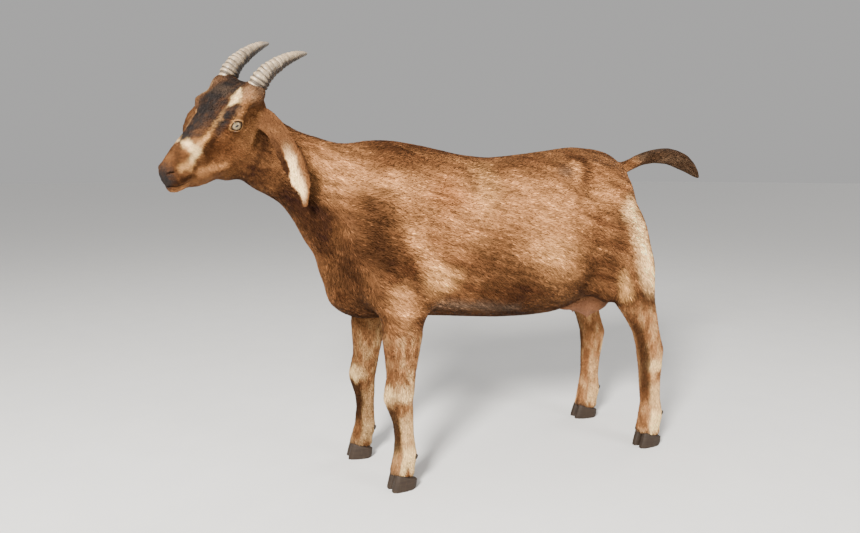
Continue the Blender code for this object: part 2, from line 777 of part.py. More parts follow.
def centre_on_floor(things):
    """Moves everything so that the middle of the model's box lies over the world's origin."""
    points = np.vstack([points_of(thing) for thing in things])
    middle = (points.min(axis=0) + points.max(axis=0)) / 2
    for thing in things:
        set_points(thing, points_of(thing) - (middle[0], middle[1], 0))


def main():
    clear_scene()
    object_collection()
    body = flesh()
    thin_out(body)
    for side in SIDES:
        cut_away(body, eye(side, GAP))
    fitted = {}
    for made in ears().values():
        fitted[made.name] = (made, "brown_coat")
    for side in SIDES:
        fitted[f"horn_{side}"] = (horn(side), "horn")
    fitted["udder"] = (udder(), "udder_skin")
    for name, sign, _ in feet():
        for inner, which in ((1, "outer"), (-1, "inner")):
            made = dewclaw(name, which, inner * sign)
            fitted[made.name] = (made, "hoof")
    for name, (made, coat) in fitted.items():
        cut_away(made, inflated(body, GAP))
        fitted[name] = (largest_part(made), coat)
    for name, sign, at in feet():
        length = 0.94 if name.startswith("fore") else 1.04
        for inner, which in ((1, "outer"), (-1, "inner")):
            made = claw(f"hoof_{name}_{which}", sign, at, inner * sign, length)
            fitted[made.name] = (made, "hoof")
    for side in SIDES:
        fitted[f"eye_{side}"] = (eye(side), "eye")
    nodes = [(name, thing, coat) for name, (thing, coat) in fitted.items()]
    nodes += part_flesh(body)
    for name, thing, coat in nodes:
        finish(thing, name, coat)
    centre_on_floor([thing for _, thing, _ in nodes])


main()
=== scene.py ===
"""A standing doe goat: one skin with its coat, head, eyes, horns and hooves, over the frame.

Metres, +Z up. The goat faces -Y and its left side is +X. Places on the head are given in the
head's own axes: X to its left, Y back and Z up, from a point between the ears. Tables of places
with their reaches and heights are in millimetres. The skin is made from the frame's flesh, lies
inside it by the depth of the coat, and is then worked in detail. The coat is bump and combed
colour on the skin, with fine flat tufts over it.
"""

import json
import math

import bmesh
import bpy
import numpy as np
from mathutils import Matrix, Vector
from mathutils.bvhtree import BVHTree

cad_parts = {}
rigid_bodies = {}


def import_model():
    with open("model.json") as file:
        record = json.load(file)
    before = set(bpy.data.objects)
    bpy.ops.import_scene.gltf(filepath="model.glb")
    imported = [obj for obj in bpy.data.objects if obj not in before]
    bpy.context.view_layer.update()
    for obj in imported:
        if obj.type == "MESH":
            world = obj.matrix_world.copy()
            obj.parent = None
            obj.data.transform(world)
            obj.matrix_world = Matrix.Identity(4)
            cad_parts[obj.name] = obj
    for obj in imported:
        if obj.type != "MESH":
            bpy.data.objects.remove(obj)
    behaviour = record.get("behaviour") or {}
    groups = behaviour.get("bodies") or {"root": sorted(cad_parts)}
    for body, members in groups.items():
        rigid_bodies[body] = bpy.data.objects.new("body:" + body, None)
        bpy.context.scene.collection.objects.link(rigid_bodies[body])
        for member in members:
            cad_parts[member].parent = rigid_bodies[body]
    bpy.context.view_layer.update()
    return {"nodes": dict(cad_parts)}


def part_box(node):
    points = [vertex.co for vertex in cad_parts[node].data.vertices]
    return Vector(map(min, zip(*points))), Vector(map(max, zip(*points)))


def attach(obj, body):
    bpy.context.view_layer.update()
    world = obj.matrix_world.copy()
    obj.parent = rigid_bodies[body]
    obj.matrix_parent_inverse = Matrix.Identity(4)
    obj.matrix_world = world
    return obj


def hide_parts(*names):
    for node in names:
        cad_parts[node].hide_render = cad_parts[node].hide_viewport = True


for thing in list(bpy.data.objects):
    bpy.data.objects.remove(thing, do_unlink=True)

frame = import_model()
NODES = frame["nodes"]
SIDES = {"left": 1, "right": -1}

# Sizes, in metres and degrees; the eye's opening is in radians, half its width and height.
SKIN_GRID = 0.0046
HORN_GRID = 0.0012
HOOF_GRID = 0.0016
CLAW_GRID = 0.0011
BODY_TRIANGLES = 80000
MAP_TRIANGLES = 7000
SWELL = 0.0012
EAR_SWELL = 0.0032
TUFTS = 126000
TUFTS_A_PIECE = 18000
TUFT_ON_MAP = 0.0015

EYE_RADIUS = 0.0142
EYE_IN_HEAD = Vector((0, -0.0836, 0.0068))
EYE_LINE = Vector((0.0415, -0.0836, 0.0068))
EYE_OPENING = (0.72, 0.53)
GAZE = Vector((0.84, -0.52, 0.14)).normalized()
HEAD_TURN = 32.0
HEAD_DROP = 23.0
HEAD_TILT = 16.5
FACE_BACK, FACE_HALF = 0.012, 0.075
HORN_RINGS = 17

CAMERA_AT = (1.447, -0.7145, 0.704)
CAMERA_WAY = (-0.922, 0.387, 0)
CAMERA_DROP = math.radians(8.37)
LENS, SENSOR = 28.88, 36.0

# How deep the coat lies over each part's skin.
COAT_DEPTH = {
    "trunk": 0.0032, "neck": 0.0032, "head": 0.0012, "ear_": 0.0006, "udder": 0.0005,
    "tail": 0.004, "thigh": 0.003, "forearm": 0.0024, "gaskin": 0.0024, "cannon": 0.0018,
    "pastern": 0.0016, "eye_": 0.0012,
}
ZONES = list(COAT_DEPTH)[:-1]
BODY = ("trunk", "neck", "thigh")
LEGS = ("forearm", "gaskin", "cannon", "pastern")

# Each zone's tufts: length, half width, how far the tips stand off, and how densely they grow.
TUFT_SIZES = {
    "trunk": (0.015, 0.00105, 0.0009, 1.0), "neck": (0.015, 0.00105, 0.001, 1.1),
    "head": (0.0072, 0.00062, 0.0005, 3.2), "ear_": (0.0065, 0.0006, 0.0004, 3.0),
    "udder": (0.007, 0.0006, 0.0004, 1.6), "tail": (0.03, 0.00115, 0.0013, 5.0),
    "thigh": (0.0145, 0.00105, 0.001, 1.1), "forearm": (0.0115, 0.00095, 0.001, 1.9),
    "gaskin": (0.012, 0.00095, 0.001, 1.8), "cannon": (0.0095, 0.00085, 0.0008, 2.5),
    "pastern": (0.0095, 0.00085, 0.0011, 3.2),
}

# Colours of hair, skin and horn.
BROWN = (0.104, 0.04, 0.0155)
DARK = (0.02, 0.008, 0.0038)
GOLD = (0.44, 0.205, 0.08)
RUST = (0.15, 0.048, 0.0155)
TAN = (0.32, 0.15, 0.062)
LIGHT = (0.66, 0.35, 0.13)
BUFF = (0.8, 0.5, 0.23)
CREAM = (0.93, 0.64, 0.3)
SLATE = (0.017, 0.0145, 0.0138)
GREY = (0.07, 0.046, 0.031)
BLACK = (0.007, 0.006, 0.0055)
PINK = (0.33, 0.155, 0.095)
# Painted shade: the skin between the tufts is darker by this factor.
SKIN_SHADE = 0.86
HAIR_SHINE = {"Specular_IOR_Level": 0.02, "Specular_Tint": (1.0, 0.7, 0.46, 1.0)}

# Lines of places, in millimetres: in the head's axes, on its left side.
HORN_LINE = [(36, -28, 40), (38.5, -12, 58), (41.5, 14, 76), (44.5, 55, 86), (48.5, 92, 88),
             (51.5, 122, 84.5)]
MUZZLE_LINE = [(0, -232, -50), (12, -215, -66), (27, -170, -69)]
NOSTRIL = [(8.5, -236.5, -47), (12.5, -235, -41.5), (17.5, -229, -38.5)]
NOSE_PAD = [(0, -240, -37), (9, -237, -45), (0, -238, -60)]
MOUTH = [(0, -233, -69), (17, -215, -69.5), (27.5, -169, -68)]
LIPS = [(0, -233, -69), (17, -215, -69.5), (25, -180, -70)]

# Ridges and hollows: the place or line, its reach, its height or depth, and how soft it is.
FACE_RELIEF = [
    ([(54, -82, 33), (56, -66, 33), (54, -50, 31)], 2, -0.7, 0.9),
    ([(56, -66, 20), (54, -52, 19), (50, -42, 15)], 1.3, -0.9, 0.9),
    ([(53, -64, 0), (50, -52, -5), (48, -44, -6)], 1.3, -0.8, 0.9),
    ([(44, -100, 1), (37, -112, -6), (32, -126, -14)], 2.4, -1.2, 0.9),
    ([(48, -34, -26), (45, -43, -50), (42, -52, -68)], 7, -1.6, 0.9),
    ([(40, -16, 54)], (26, 24, 18), 2, 0.6),
    ([(40, -104, -14)], (12, 30, 6), 1.8, 0.9),
    ([(30, -140, -30)], (16, 22, 14), -2, 0.9),
    ([(27, -120, -62)], (16, 40, 12), 1.2, 0.9),
    ([(48, -52, -40), (47, -64, -62)], 20, 2.2, 0.95),
    ([(36, -108, -52), (30, -132, -50)], 13, -3, 0.95),
    ([(50, -88, -14), (42, -116, -19), (33, -142, -26)], 6, 2.4, 0.95),
    ([(46, -92, -30), (38, -118, -34)], 8, -1.8, 0.95),
    ([(46, -102, 20), (38, -116, 10)], 7.5, -2.6, 0.95),
    ([(46, -92, 36), (54, -78, 34), (54, -62, 30)], 6, 1.2, 0.95),
    ([(46, -48, 30), (46, -36, 20)], 11, -2.6, 0.95),
    ([(24, -125, 18), (20, -160, -1), (17, -190, -18)], 5.5, 1.4, 0.95),
    ([(0, -100, 50), (0, -135, 30)], 12, -1.2, 0.95),
]
MUZZLE_RELIEF = [
    (NOSTRIL + [(19.5, -222, -40)], (2.2, 3.4, 2.8, 1.2), -7.2, 0.7),
    ([(10, -234, -36.5), (16.5, -227, -32), (21.5, -218, -35)], (3.4, 3.6, 3), 1.4, 0.9),
    ([(0, -233, -69), (9, -229, -69), (17, -215, -69.5), (21.5, -198, -70), (25, -180, -70),
      (27.5, -169, -68)], (1.2, 1.2, 1.2, 1.2, 1.2, 0.8), -2.4, 0.9),
    ([(0, -235, -64), (12, -228, -64), (23, -200, -64)], (5, 5, 4), 0.8, 0.9),
    ([(0, -227, -75.5), (12, -220, -75.5), (20, -195, -76)], (5, 5, 4), 0.5, 0.9),
    ([(0, -238, -50), (0, -236, -68)], (1.2, 1.6), -1.6, 0.9),
]
BODY_RELIEF = [
    ([(85, 236, 725), (125, 238, 660)], (12, 16), -3.5, 0.9),
    ([(98, 205, 690)], (35, 26, 26), 3, 0.9),
    ([(150, 322, 590), (150, 318, 500)], (14, 18), -4, 0.9),
    ([(120, -175, 600), (130, -190, 480)], (16, 20), -3, 0.9),
    ([(105, -290, 660), (112, -276, 560)], (16, 20), -3, 0.9),
]

# Soft patches and stripes of the coat, with painted highlights and painted shade among them: the
# place or line, its reach, its colour and its strength.
# Those of the head are in the head's own axes; both sides of the body have them.
HEAD_MARKS_AND_PAINTED_LIGHT = [
    ([(34, -105, -38)], 36, (0.105, 0.04, 0.015), 0.8),
    ([(48, -65, -20)], 24, GOLD, 0.2),
    ([(24, -170, -58), (25, -137, -64), (30, -110, -72)], 7, GOLD, 0.6),
    ([(34, -150, -76), (40, -106, -94), (46, -70, -100), (50, -40, -74)], (4, 6, 9, 10),
     DARK, 0.95),
    ([(47, -48, -118), (20, -62, -122)], 34, DARK, 0.95),
    # Painted shade in the gap between the ear's front edge and the cheek.
    ([(53, -32, -30), (52, -30, -60)], 14, DARK, 0.9),
    ([(0, -18, 72), (0, -50, 66)], 32, (0.036, 0.021, 0.013), 0.8),
    ([(0, -55, 64), (0, -90, 52), (0, -130, 32), (0, -172, 7)], (38, 36, 27, 14), SLATE, 1.0),
    ([(8, -68, 60)], 11, GREY, 0.6),
    ([(46, -45, 52), (48, -62, 42)], 11, GOLD, 0.45),
    ([(29, -48, 60), (37, -70, 52), (38, -88, 43)], (2, 8, 3), CREAM, 1.0),
    ([(36, -92, 38), (29, -112, 20), (25, -139, -1), (21, -160, -11)], (3.6, 4.2, 4.4, 5.6),
     LIGHT, 0.85),
    # Painted highlights on the muzzle: golden round a cream core, and a paler one lower on its
    # side.
    ([(20, -168, -18)], 14, GOLD, 0.75),
    ([(12, -178, -3), (18, -172, -13)], 6.5, CREAM, 1.0),
    ([(22, -165, -18), (25, -180, -30)], (7.5, 6.5), CREAM, 1.0),
    ([(22, -188, -38), (20, -206, -36)], (8, 6), LIGHT, 0.6),
    ([(52, -80, 42), (41, -98, 33), (32, -109, 16), (30, -118, -3)], (6, 9, 8, 5), SLATE, 1.0),
    ([(29, -124, -8), (28, -146, -28)], (5, 9), DARK, 0.85),
    ([(6, -196, -8), (14, -206, -22)], 9, DARK, 0.62),
    ([(54, -79, 27)], 9, GOLD, 0.6),
    ([(47, -22, 6), (46, -38, -18), (44, -52, -38)], 5, GOLD, 0.7),
    ([(42, -40, 46), (45, -28, 48)], 13, (0.2, 0.13, 0.08), 0.6),
    ([(20, -206, -80), (0, -220, -83)], 9, GOLD, 0.45),
    ([(0, -232, -64), (18, -222, -60), (26, -202, -59), (28, -180, -64)], (7.5, 7.5, 7, 3),
     DARK, 0.9),
    ([(0, -238, -36), (11, -236, -46), (0, -236, -60)], (15, 13, 13), SLATE, 1.0),
]
BODY_MARKS_AND_PAINTED_LIGHT = [
    # Painted highlight along the upper body.
    ([(90, -150, 640), (125, 0, 640), (135, 140, 630)], 60, GOLD, 0.5),
    # Painted shade on the lower flank, the throat and the belly.
    ([(130, -20, 490), (160, 80, 460), (150, 220, 450)], 60, DARK, 0.6),
    ([(45, -470, 672), (48, -440, 640), (56, -405, 612)], 44, DARK, 0.95),
    ([(148, 0, 410), (155, 120, 405)], 40, DARK, 0.42),
    # Painted highlight on the top of the neck.
    ([(60, -350, 702)], (50, 70, 45), GOLD, 0.62),
    # Painted shade on the lower neck.
    ([(70, -440, 640), (63, -385, 570)], 55, DARK, 0.88),
    # Painted highlight along the neck into the shoulder.
    ([(95, -310, 675), (105, -200, 655)], 26, GOLD, 0.6),
    ([(75, -240, 725), (70, -200, 730)], 30, DARK, 0.35),
    # Painted shade on the shoulder and the breast.
    ([(105, -280, 620), (112, -265, 540)], 38, DARK, 0.74),
    ([(100, -320, 530), (120, -245, 490)], 52, DARK, 0.74),
    ([(70, -320, 470), (60, -310, 420)], 55, DARK, 0.75),
    # Painted highlights down the shoulder's edge and on the elbow.
    ([(112, -190, 560), (118, -170, 515), (124, -132, 460)], 18, GOLD, 0.75),
    ([(123, -134, 462)], (30, 30, 30), LIGHT, 0.32),
    ([(136, -228, 436), (130, -220, 400)], 22, GOLD, 0.75),
    ([(108, -110, 640)], (50, 35, 40), RUST, 0.5),
    # Painted highlight on the upper ribs.
    ([(100, -18, 668)], (50, 28, 45), LIGHT, 0.28),
    # Painted shade in a crease on the upper ribs.
    ([(90, -55, 690), (100, -55, 650)], 14, DARK, 0.35),
    # Painted highlights on the flank.
    ([(150, 100, 530), (158, 140, 500)], 42, GOLD, 0.6),
    ([(155, 125, 512)], (40, 40, 28), LIGHT, 0.2),
    ([(98, 190, 690)], (20, 18, 14), GREY, 0.7),
    # Painted highlight on the point of the hip.
    ([(92, 214, 706), (104, 216, 676)], 9, GOLD, 0.6),
    # Painted shade in the groove behind the hip.
    ([(75, 238, 728), (100, 242, 690), (120, 232, 640)], 9, DARK, 0.8),
    # Painted highlight on the rump.
    ([(128, 276, 625)], (50, 40, 30), GOLD, 0.45),
    ([(146, 300, 590), (148, 305, 500)], 30, DARK, 0.36),
    # Painted highlights down the back of the thigh.
    ([(132, 360, 600), (138, 392, 520), (132, 420, 430)], 26, BUFF, 0.88),
    ([(143, 330, 440), (138, 345, 400)], 16, LIGHT, 0.6),
    # Painted shade under the fold of the flank.
    ([(130, 250, 405), (100, 280, 390)], 18, DARK, 0.8),
    # Painted reflection of light from below along the belly.
    ([(110, -130, 402), (112, 40, 396)], 16, GREY, 0.75),
]


def turned(x=0.0, y=0.0, z=0.0):
    """A turn of x, y and z degrees, taken in that order."""
    about_z = Matrix.Rotation(math.radians(z), 3, "Z")
    about_y = Matrix.Rotation(math.radians(y), 3, "Y")
    return about_z @ about_y @ Matrix.Rotation(math.radians(x), 3, "X")


def middle(name):
    low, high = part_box(name)
    return (Vector(low) + Vector(high)) / 2


HEAD_WAY = turned(z=HEAD_TURN) @ turned(x=HEAD_DROP) @ turned(y=HEAD_TILT)
HEAD_AT = (middle("eye_left") + middle("eye_right")) / 2 - HEAD_WAY @ EYE_IN_HEAD


def in_head(points):
    """World points in the head's own axes."""
    return (points - np.array(HEAD_AT)) @ np.array(HEAD_WAY)


def from_head(points):
    """Places in the head's own axes, as world points."""
    return np.array(points) @ np.array(HEAD_WAY).T + np.array(HEAD_AT)


def folded(points):
    """The places with both sides of the body laid over each other."""
    return np.column_stack((np.abs(points[:, 0]), points[:, 1], points[:, 2]))


# Numbers ---------------------------------------------------------------------------------


def step(low, high, value):
    """0 below low, 1 above high, and a smooth rise between."""
    part = np.clip((value - low) / (high - low), 0, 1)
    return part * part * (3 - 2 * part)


def bell(value, at, wide):
    """1 at one value, falling away smoothly on both sides."""
    return np.exp(-(((value - at) / wide) ** 2))


def unit(vectors):
    return vectors / np.maximum(np.linalg.norm(vectors, axis=1), 1e-9)[:, None]


def clouds(points, size, seed=0, layers=3):
    """Smooth noise from -1 to 1 with patches about size across, at each point."""
    total, reach = np.zeros(len(points)), 0.0
    for layer in range(layers):
        at = points / size * 2**layer + seed * 17.31 + layer * 5.7
        cell = np.floor(at).astype(np.int64)
        part = at - cell
        part = part * part * (3 - 2 * part)
        for corner in range(8):
            bits = np.array([corner & 1, corner >> 1 & 1, corner >> 2 & 1])
            key = (cell + bits) @ np.array([73856093, 19349663, 83492791])
            key = (key ^ (key >> 13)) * 1274126177
            key = (key ^ (key >> 16)) & 0xFFFF
            weight = np.prod(np.where(bits, part, 1 - part), axis=1)
            total += weight * (key / 32767.5 - 1) * 0.5**layer
        reach += 0.5**layer
    return total / reach * 1.6


def patch(points, line, reach, soft=0.45, wobble=0.15, size=10):
    """1 within reach of a place, or of a line of places, and softly 0 beyond; in millimetres."""
    line, reach = np.array(line) / 1000, np.array(reach) / 1000
    seed = 3 if len(line) == 1 else 4
    if len(line) == 1:
        best = np.linalg.norm((points - line[0]) / reach, axis=1)
    else:
        best = np.full(len(points), 9.0)
        reach = np.broadcast_to(reach, len(line))
        for a, b, wide_a, wide_b in zip(line, line[1:], reach, reach[1:]):
            part = np.clip((points - a) @ (b - a) / ((b - a) @ (b - a)), 0, 1)
            away = np.linalg.norm(points - a - part[:, None] * (b - a), axis=1)
            best = np.minimum(best, away / (wide_a + part * (wide_b - wide_a)))
    if wobble:
        best = best + wobble * clouds(points, size / 1000, seed, 2)
    return 1 - step(1 - soft, 1 + soft, best)


def raised(points, rows, move=0.0):
    """How far each ridge or hollow moves the skin, added up from a start."""
    for line, reach, height, soft in rows:
        move = move + height / 1000 * patch(points, line, reach, soft, 0)
    return move


def tinted(colours, *layers):
    """The colours, taken toward each layer's colour in turn by its mask."""
    colours = np.array(colours)
    for colour, mask in layers:
        colours = colours + (np.array(colour) - colours) * np.clip(mask, 0, 1)[:, None]
    return colours


def in_sum(values, corners, shares):
    """Values at places inside triangles, from those at their corners."""
    return np.einsum("nk,nkc->nc", shares, values[corners])


# Meshes ----------------------------------------------------------------------------------


def only(thing):
    bpy.ops.object.select_all(action="DESELECT")
    thing.select_set(True)
    bpy.context.view_layer.objects.active = thing


def in_edit_mode(operation, **settings):
    """Runs one operation on every face of the active object."""
    bpy.ops.object.mode_set(mode="EDIT")
    bpy.ops.mesh.select_all(action="SELECT")
    operation(**settings)
    bpy.ops.object.mode_set(mode="OBJECT")


def apply_modifiers(thing):
    only(thing)
    for modifier in list(thing.modifiers):
        bpy.ops.object.modifier_apply(modifier=modifier.name)


def new_object(name, mesh):
    thing = bpy.data.objects.new(name, mesh)
    bpy.context.scene.collection.objects.link(thing)
    return thing


def joined(things):
    only(things[0])
    for thing in things:
        thing.select_set(True)
    bpy.ops.object.join()
    return things[0]


def points_of(thing):
    points = np.empty(len(thing.data.vertices) * 3)
    thing.data.vertices.foreach_get("co", points)
    return points.reshape(-1, 3)


def normals_of(thing):
    normals = np.empty(len(thing.data.vertices) * 3, np.float32)
    thing.data.vertices.foreach_get("normal", normals)
    return normals.reshape(-1, 3).astype(float)


def set_points(thing, points):
    thing.data.vertices.foreach_set("co", points.ravel())
    thing.data.update()


def triangles_of(thing):
    """The corner numbers of the mesh's triangles."""
    thing.data.calc_loop_triangles()
    corners = np.empty(len(thing.data.loop_triangles) * 3, np.int32)
    thing.data.loop_triangles.foreach_get("vertices", corners)
    return corners.reshape(-1, 3)


def tree_of(thing):
    return BVHTree.FromPolygons(points_of(thing).tolist(), triangles_of(thing).tolist())


def set_attribute(thing, name, values):
    """Stores a number, a vector or a colour, which is called tint, for each point."""
    kind, field = ("FLOAT", "value") if values.ndim == 1 else ("FLOAT_VECTOR", "vector")
    if name == "tint":
        kind, field = "FLOAT_COLOR", "color"
        values = np.column_stack((values, np.ones(len(values))))
    layer = thing.data.attributes.new(name, kind, "POINT")
    layer.data.foreach_set(field, np.ascontiguousarray(values, np.float32).ravel())


def node_copy(name, swell=0.0, called=None):
    """A copy of a node's mesh with its corners merged, swollen along its normals."""
    made = new_object(called or name + "_copy", NODES[name].data.copy())
    made.data.materials.clear()
    shape = bmesh.new()
    shape.from_mesh(made.data)
    bmesh.ops.remove_doubles(shape, verts=shape.verts, dist=1e-5)
    shape.normal_update()
    for vertex in shape.verts:
        vertex.co += vertex.normal * swell
    shape.to_mesh(made.data)
    shape.free()
    return made


def remesh(thing, grid):
    """One fused closed mesh on a grid."""
    fuse = thing.modifiers.new("fuse", "REMESH")
    fuse.mode, fuse.voxel_size = "VOXEL", grid
    apply_modifiers(thing)


def thinned(thing, triangles, apart=None):
    """Brings the mesh down to so many triangles, or only what lies apart from the rest."""
    corners = triangles_of(thing)
    decimate = thing.modifiers.new("thin", "DECIMATE")
    kept = 0
    if apart is not None:
        group = thing.vertex_groups.new(name="apart")
        group.add(np.flatnonzero(apart).tolist(), 1.0, "REPLACE")
        decimate.vertex_group = "apart"
        kept = np.count_nonzero(~apart[corners].all(axis=1))
    decimate.ratio = min(1.0, (kept + triangles) / len(corners))
    apply_modifiers(thing)
    thing.vertex_groups.clear()


class Net:
    """The edges of a mesh, for spreading values between neighbours."""

    def __init__(self, thing):
        edges = np.empty(len(thing.data.edges) * 2, np.int32)
        thing.data.edges.foreach_get("vertices", edges)
        self.a, self.b = edges.reshape(-1, 2).T
        self.size = len(thing.data.vertices)
        self.count = np.bincount(self.a, minlength=self.size)
        self.count = np.maximum(self.count + np.bincount(self.b, minlength=self.size), 1)

    def mean(self, values):
        made = np.empty_like(values)
        for column in range(values.shape[1]):
            one = values[:, column]
            total = np.bincount(self.a, one[self.b], self.size)
            made[:, column] = (total + np.bincount(self.b, one[self.a], self.size)) / self.count
        return made

    def spread(self, values, times, weight=None):
        flat = values.ndim == 1
        values = values.reshape(-1, 1) if flat else values
        pull = 0.5 if weight is None else 0.5 * weight[:, None]
        for _ in range(times):
            values = values + (self.mean(values) - values) * pull
        return values[:, 0] if flat else values

    def even(self, points, times, weight):
        """Smooths without shrinking, by a step in and a step out."""
        for _ in range(times):
            for pull in (0.5, -0.52):
                points = points + (self.mean(points) - points) * (pull * weight[:, None])
        return points


# Skin ------------------------------------------------------------------------------------


def zone_of(node):
    if node.startswith("eye_"):
        return ZONES.index("head")
    return next((i for i, word in enumerate(ZONES) if word in node), None)


FLESH = [name for name in sorted(NODES) if zone_of(name) is not None]


class Guide:
    """The frame's flesh surface, with the zone that each part of it belongs to."""

    def __init__(self):
        corners, faces, self.zones = [], [], []
        for name in FLESH:
            start = len(corners)
            corners += [tuple(vertex.co) for vertex in NODES[name].data.vertices]
            for face in NODES[name].data.polygons:
                faces.append([start + i for i in face.vertices])
                self.zones.append(zone_of(name))
        self.tree = BVHTree.FromPolygons(corners, faces)

    def read(self, points):
        """Each point's height over the surface and its zone, as a row of weights."""
        heights = np.empty(len(points))
        zones = np.zeros((len(points), len(ZONES)))
        for i, point in enumerate(points):
            near, normal, face, far = self.tree.find_nearest(Vector(point))
            heights[i] = math.copysign(far, (Vector(point) - near).dot(normal))
            zones[i, self.zones[face]] = 1
        return heights, zones


def zone(zones, *words):
    """The summed weight of the named zones."""
    return zones[:, [ZONES.index(word) for word in words]].sum(axis=1)


def settle(thing, guide):
    """Smooths the facets away, and lays the skin inside the frame by the coat's depth."""
    net = Net(thing)
    points = points_of(thing)
    _, zones = guide.read(points)
    zones = net.spread(zones, 10)
    broad = zone(zones, *BODY)
    limbs = 1 - zone(zones, "head", "ear_")
    points = net.spread(points, 4)
    points = net.spread(points, 10, limbs)
    points = net.spread(points, 80, broad)
    set_points(thing, points)
    heights, _ = guide.read(points)
    heights = net.spread(heights, 10)
    heights = net.spread(heights, 50, broad)
    depth = zones @ np.array([COAT_DEPTH[word] for word in ZONES])
    set_points(thing, points - normals_of(thing) * (heights + depth)[:, None])
    return zones


def split_near(thing, wanted):
    """Splits each face in four where wanted is true of its corners."""
    shape = bmesh.new()
    shape.from_mesh(thing.data)
    shape.verts.ensure_lookup_table()
    edges = [edge for edge in shape.edges if all(wanted[v.index] for v in edge.verts)]
    bmesh.ops.subdivide_edges(shape, edges=edges, cuts=1, use_grid_fill=True)
    shape.to_mesh(thing.data)
    shape.free()


def eye_axes(side):
    """The gaze, the line toward the front corner of the eye, and up, in the head's axes."""
    flip = np.array((SIDES[side], 1, 1))
    gaze = np.array(GAZE) * flip
    front = np.array((0, -1, -0.22))
    front = front - gaze * (front @ gaze)
    front /= np.linalg.norm(front)
    rise = np.cross(gaze, front) * SIDES[side]
    rise *= math.copysign(1, rise[2])
    return np.array(EYE_LINE) * flip, gaze, front, rise


def lid_reach(away, gaze, front, rise):
    """How far outside the eye's opening a place lies, along the ball's surface, and its height."""
    ahead = away @ gaze
    along = np.arctan2(away @ front, ahead)
    up = np.arctan2(away @ rise, ahead)
    half_wide, half_high = EYE_OPENING
    half_high = half_high * (1 - 0.22 * np.clip(along / 0.8, 0, 1))
    edge = np.hypot(along / half_wide, up / half_high)
    return np.where(ahead > 0, (edge - 1) * 0.62 * EYE_RADIUS, 0.05), up


def shape_lids(local):
    """Opens the skin over each eyeball, with a rounded lid round the opening and a fold above."""
    for side in SIDES:
        centre, gaze, front, rise = eye_axes(side)
        away = local - centre
        far = np.linalg.norm(away, axis=1)
        reach, up = lid_reach(away, gaze, front, rise)
        near = (far < EYE_RADIUS * 2.4) & (away @ gaze > -0.004)
        lid = EYE_RADIUS + 0.0004 + 0.0013 * step(0, 0.0012, reach)
        lid += 0.0007 * step(0.001, 0.003, reach) * (up > 0)
        fold = bell(reach, 0.0052, 0.001) * step(0.05, 0.3, up)
        under = bell(reach, 0.0048, 0.0012) * step(0.1, 0.4, -up)
        lid -= 0.0016 * fold + 0.0008 * under
        keep = step(0.0036, 0.013, reach)
        wanted = np.where(reach < 0, EYE_RADIUS - 0.0022, lid * (1 - keep) + far * keep)
        scale = np.where(near, wanted / np.maximum(far, 1e-6), 1.0)
        local = centre + away * scale[:, None]
    return local


def shape_head(thing, rows):
    """The head's points in its own axes, with a table's ridges and hollows worked in."""
    local = in_head(points_of(thing))
    move = raised(folded(local), rows)
    return local + normals_of(thing) @ np.array(HEAD_WAY) * move[:, None]


def shape_body(points, normals):
    """Muscle and bone that show through the short coat: ribs, shoulder, hock and knee."""
    fold = folded(points)
    ribs = np.cos((fold[:, 1] + 0.28 * (0.62 - fold[:, 2])) * 2 * math.pi / 0.036)
    cage = patch(fold, [(150, -35, 555)], (100, 135, 120), 0.6, 0)
    move = raised(fold, BODY_RELIEF, 0.0007 * ribs * cage)
    return points + normals * (move + shape_legs(points))[:, None]


def shape_legs(points):
    """How far the knees, hocks, fetlocks and the hollows beside the tendons stand out or in."""
    z = points[:, 2]
    move = np.zeros(len(points))
    for flip in SIDES.values():
        for fore in (True, False):
            mine = (z < 0.35) & (points[:, 0] * flip > 0.055) & ((points[:, 1] < 0.1) == fore)
            stops = np.arange(0.05, 0.34, 0.02)
            rows = [mine & (np.abs(z - stop) < 0.012) for stop in stops]
            line = np.array([points[row].mean(axis=0) for row in rows])
            out_x = (points[:, 0] - np.interp(z, stops, line[:, 0])) * flip
            out_y = points[:, 1] - np.interp(z, stops, line[:, 1])
            turn = np.abs(np.arctan2(out_x, -out_y))
            ahead, behind = 1 - step(0.2, 1.1, turn), step(2.1, 2.9, turn)
            beside = step(0.085, 0.105, z) * (1 - step(0.17, 0.195, z))
            shape = -0.0012 * bell(z, 0.13, 0.036)
            shape -= 0.0019 * bell(turn, 1.95, 0.32) * beside
            shape += bell(z, 0.072, 0.013) * (0.0005 + 0.0013 * behind)
            if fore:
                shape += bell(z, 0.213, 0.015) * (0.001 + 0.0013 * ahead)
                shape -= bell(z, 0.256, 0.016) * (0.0004 + 0.0012 * ahead)
            else:
                shape += 0.0014 * behind * bell(z, 0.25, 0.014)
                shape -= 0.0024 * bell(turn, 2.15, 0.3) * bell(z, 0.29, 0.026)
            move += shape * mine
    return move


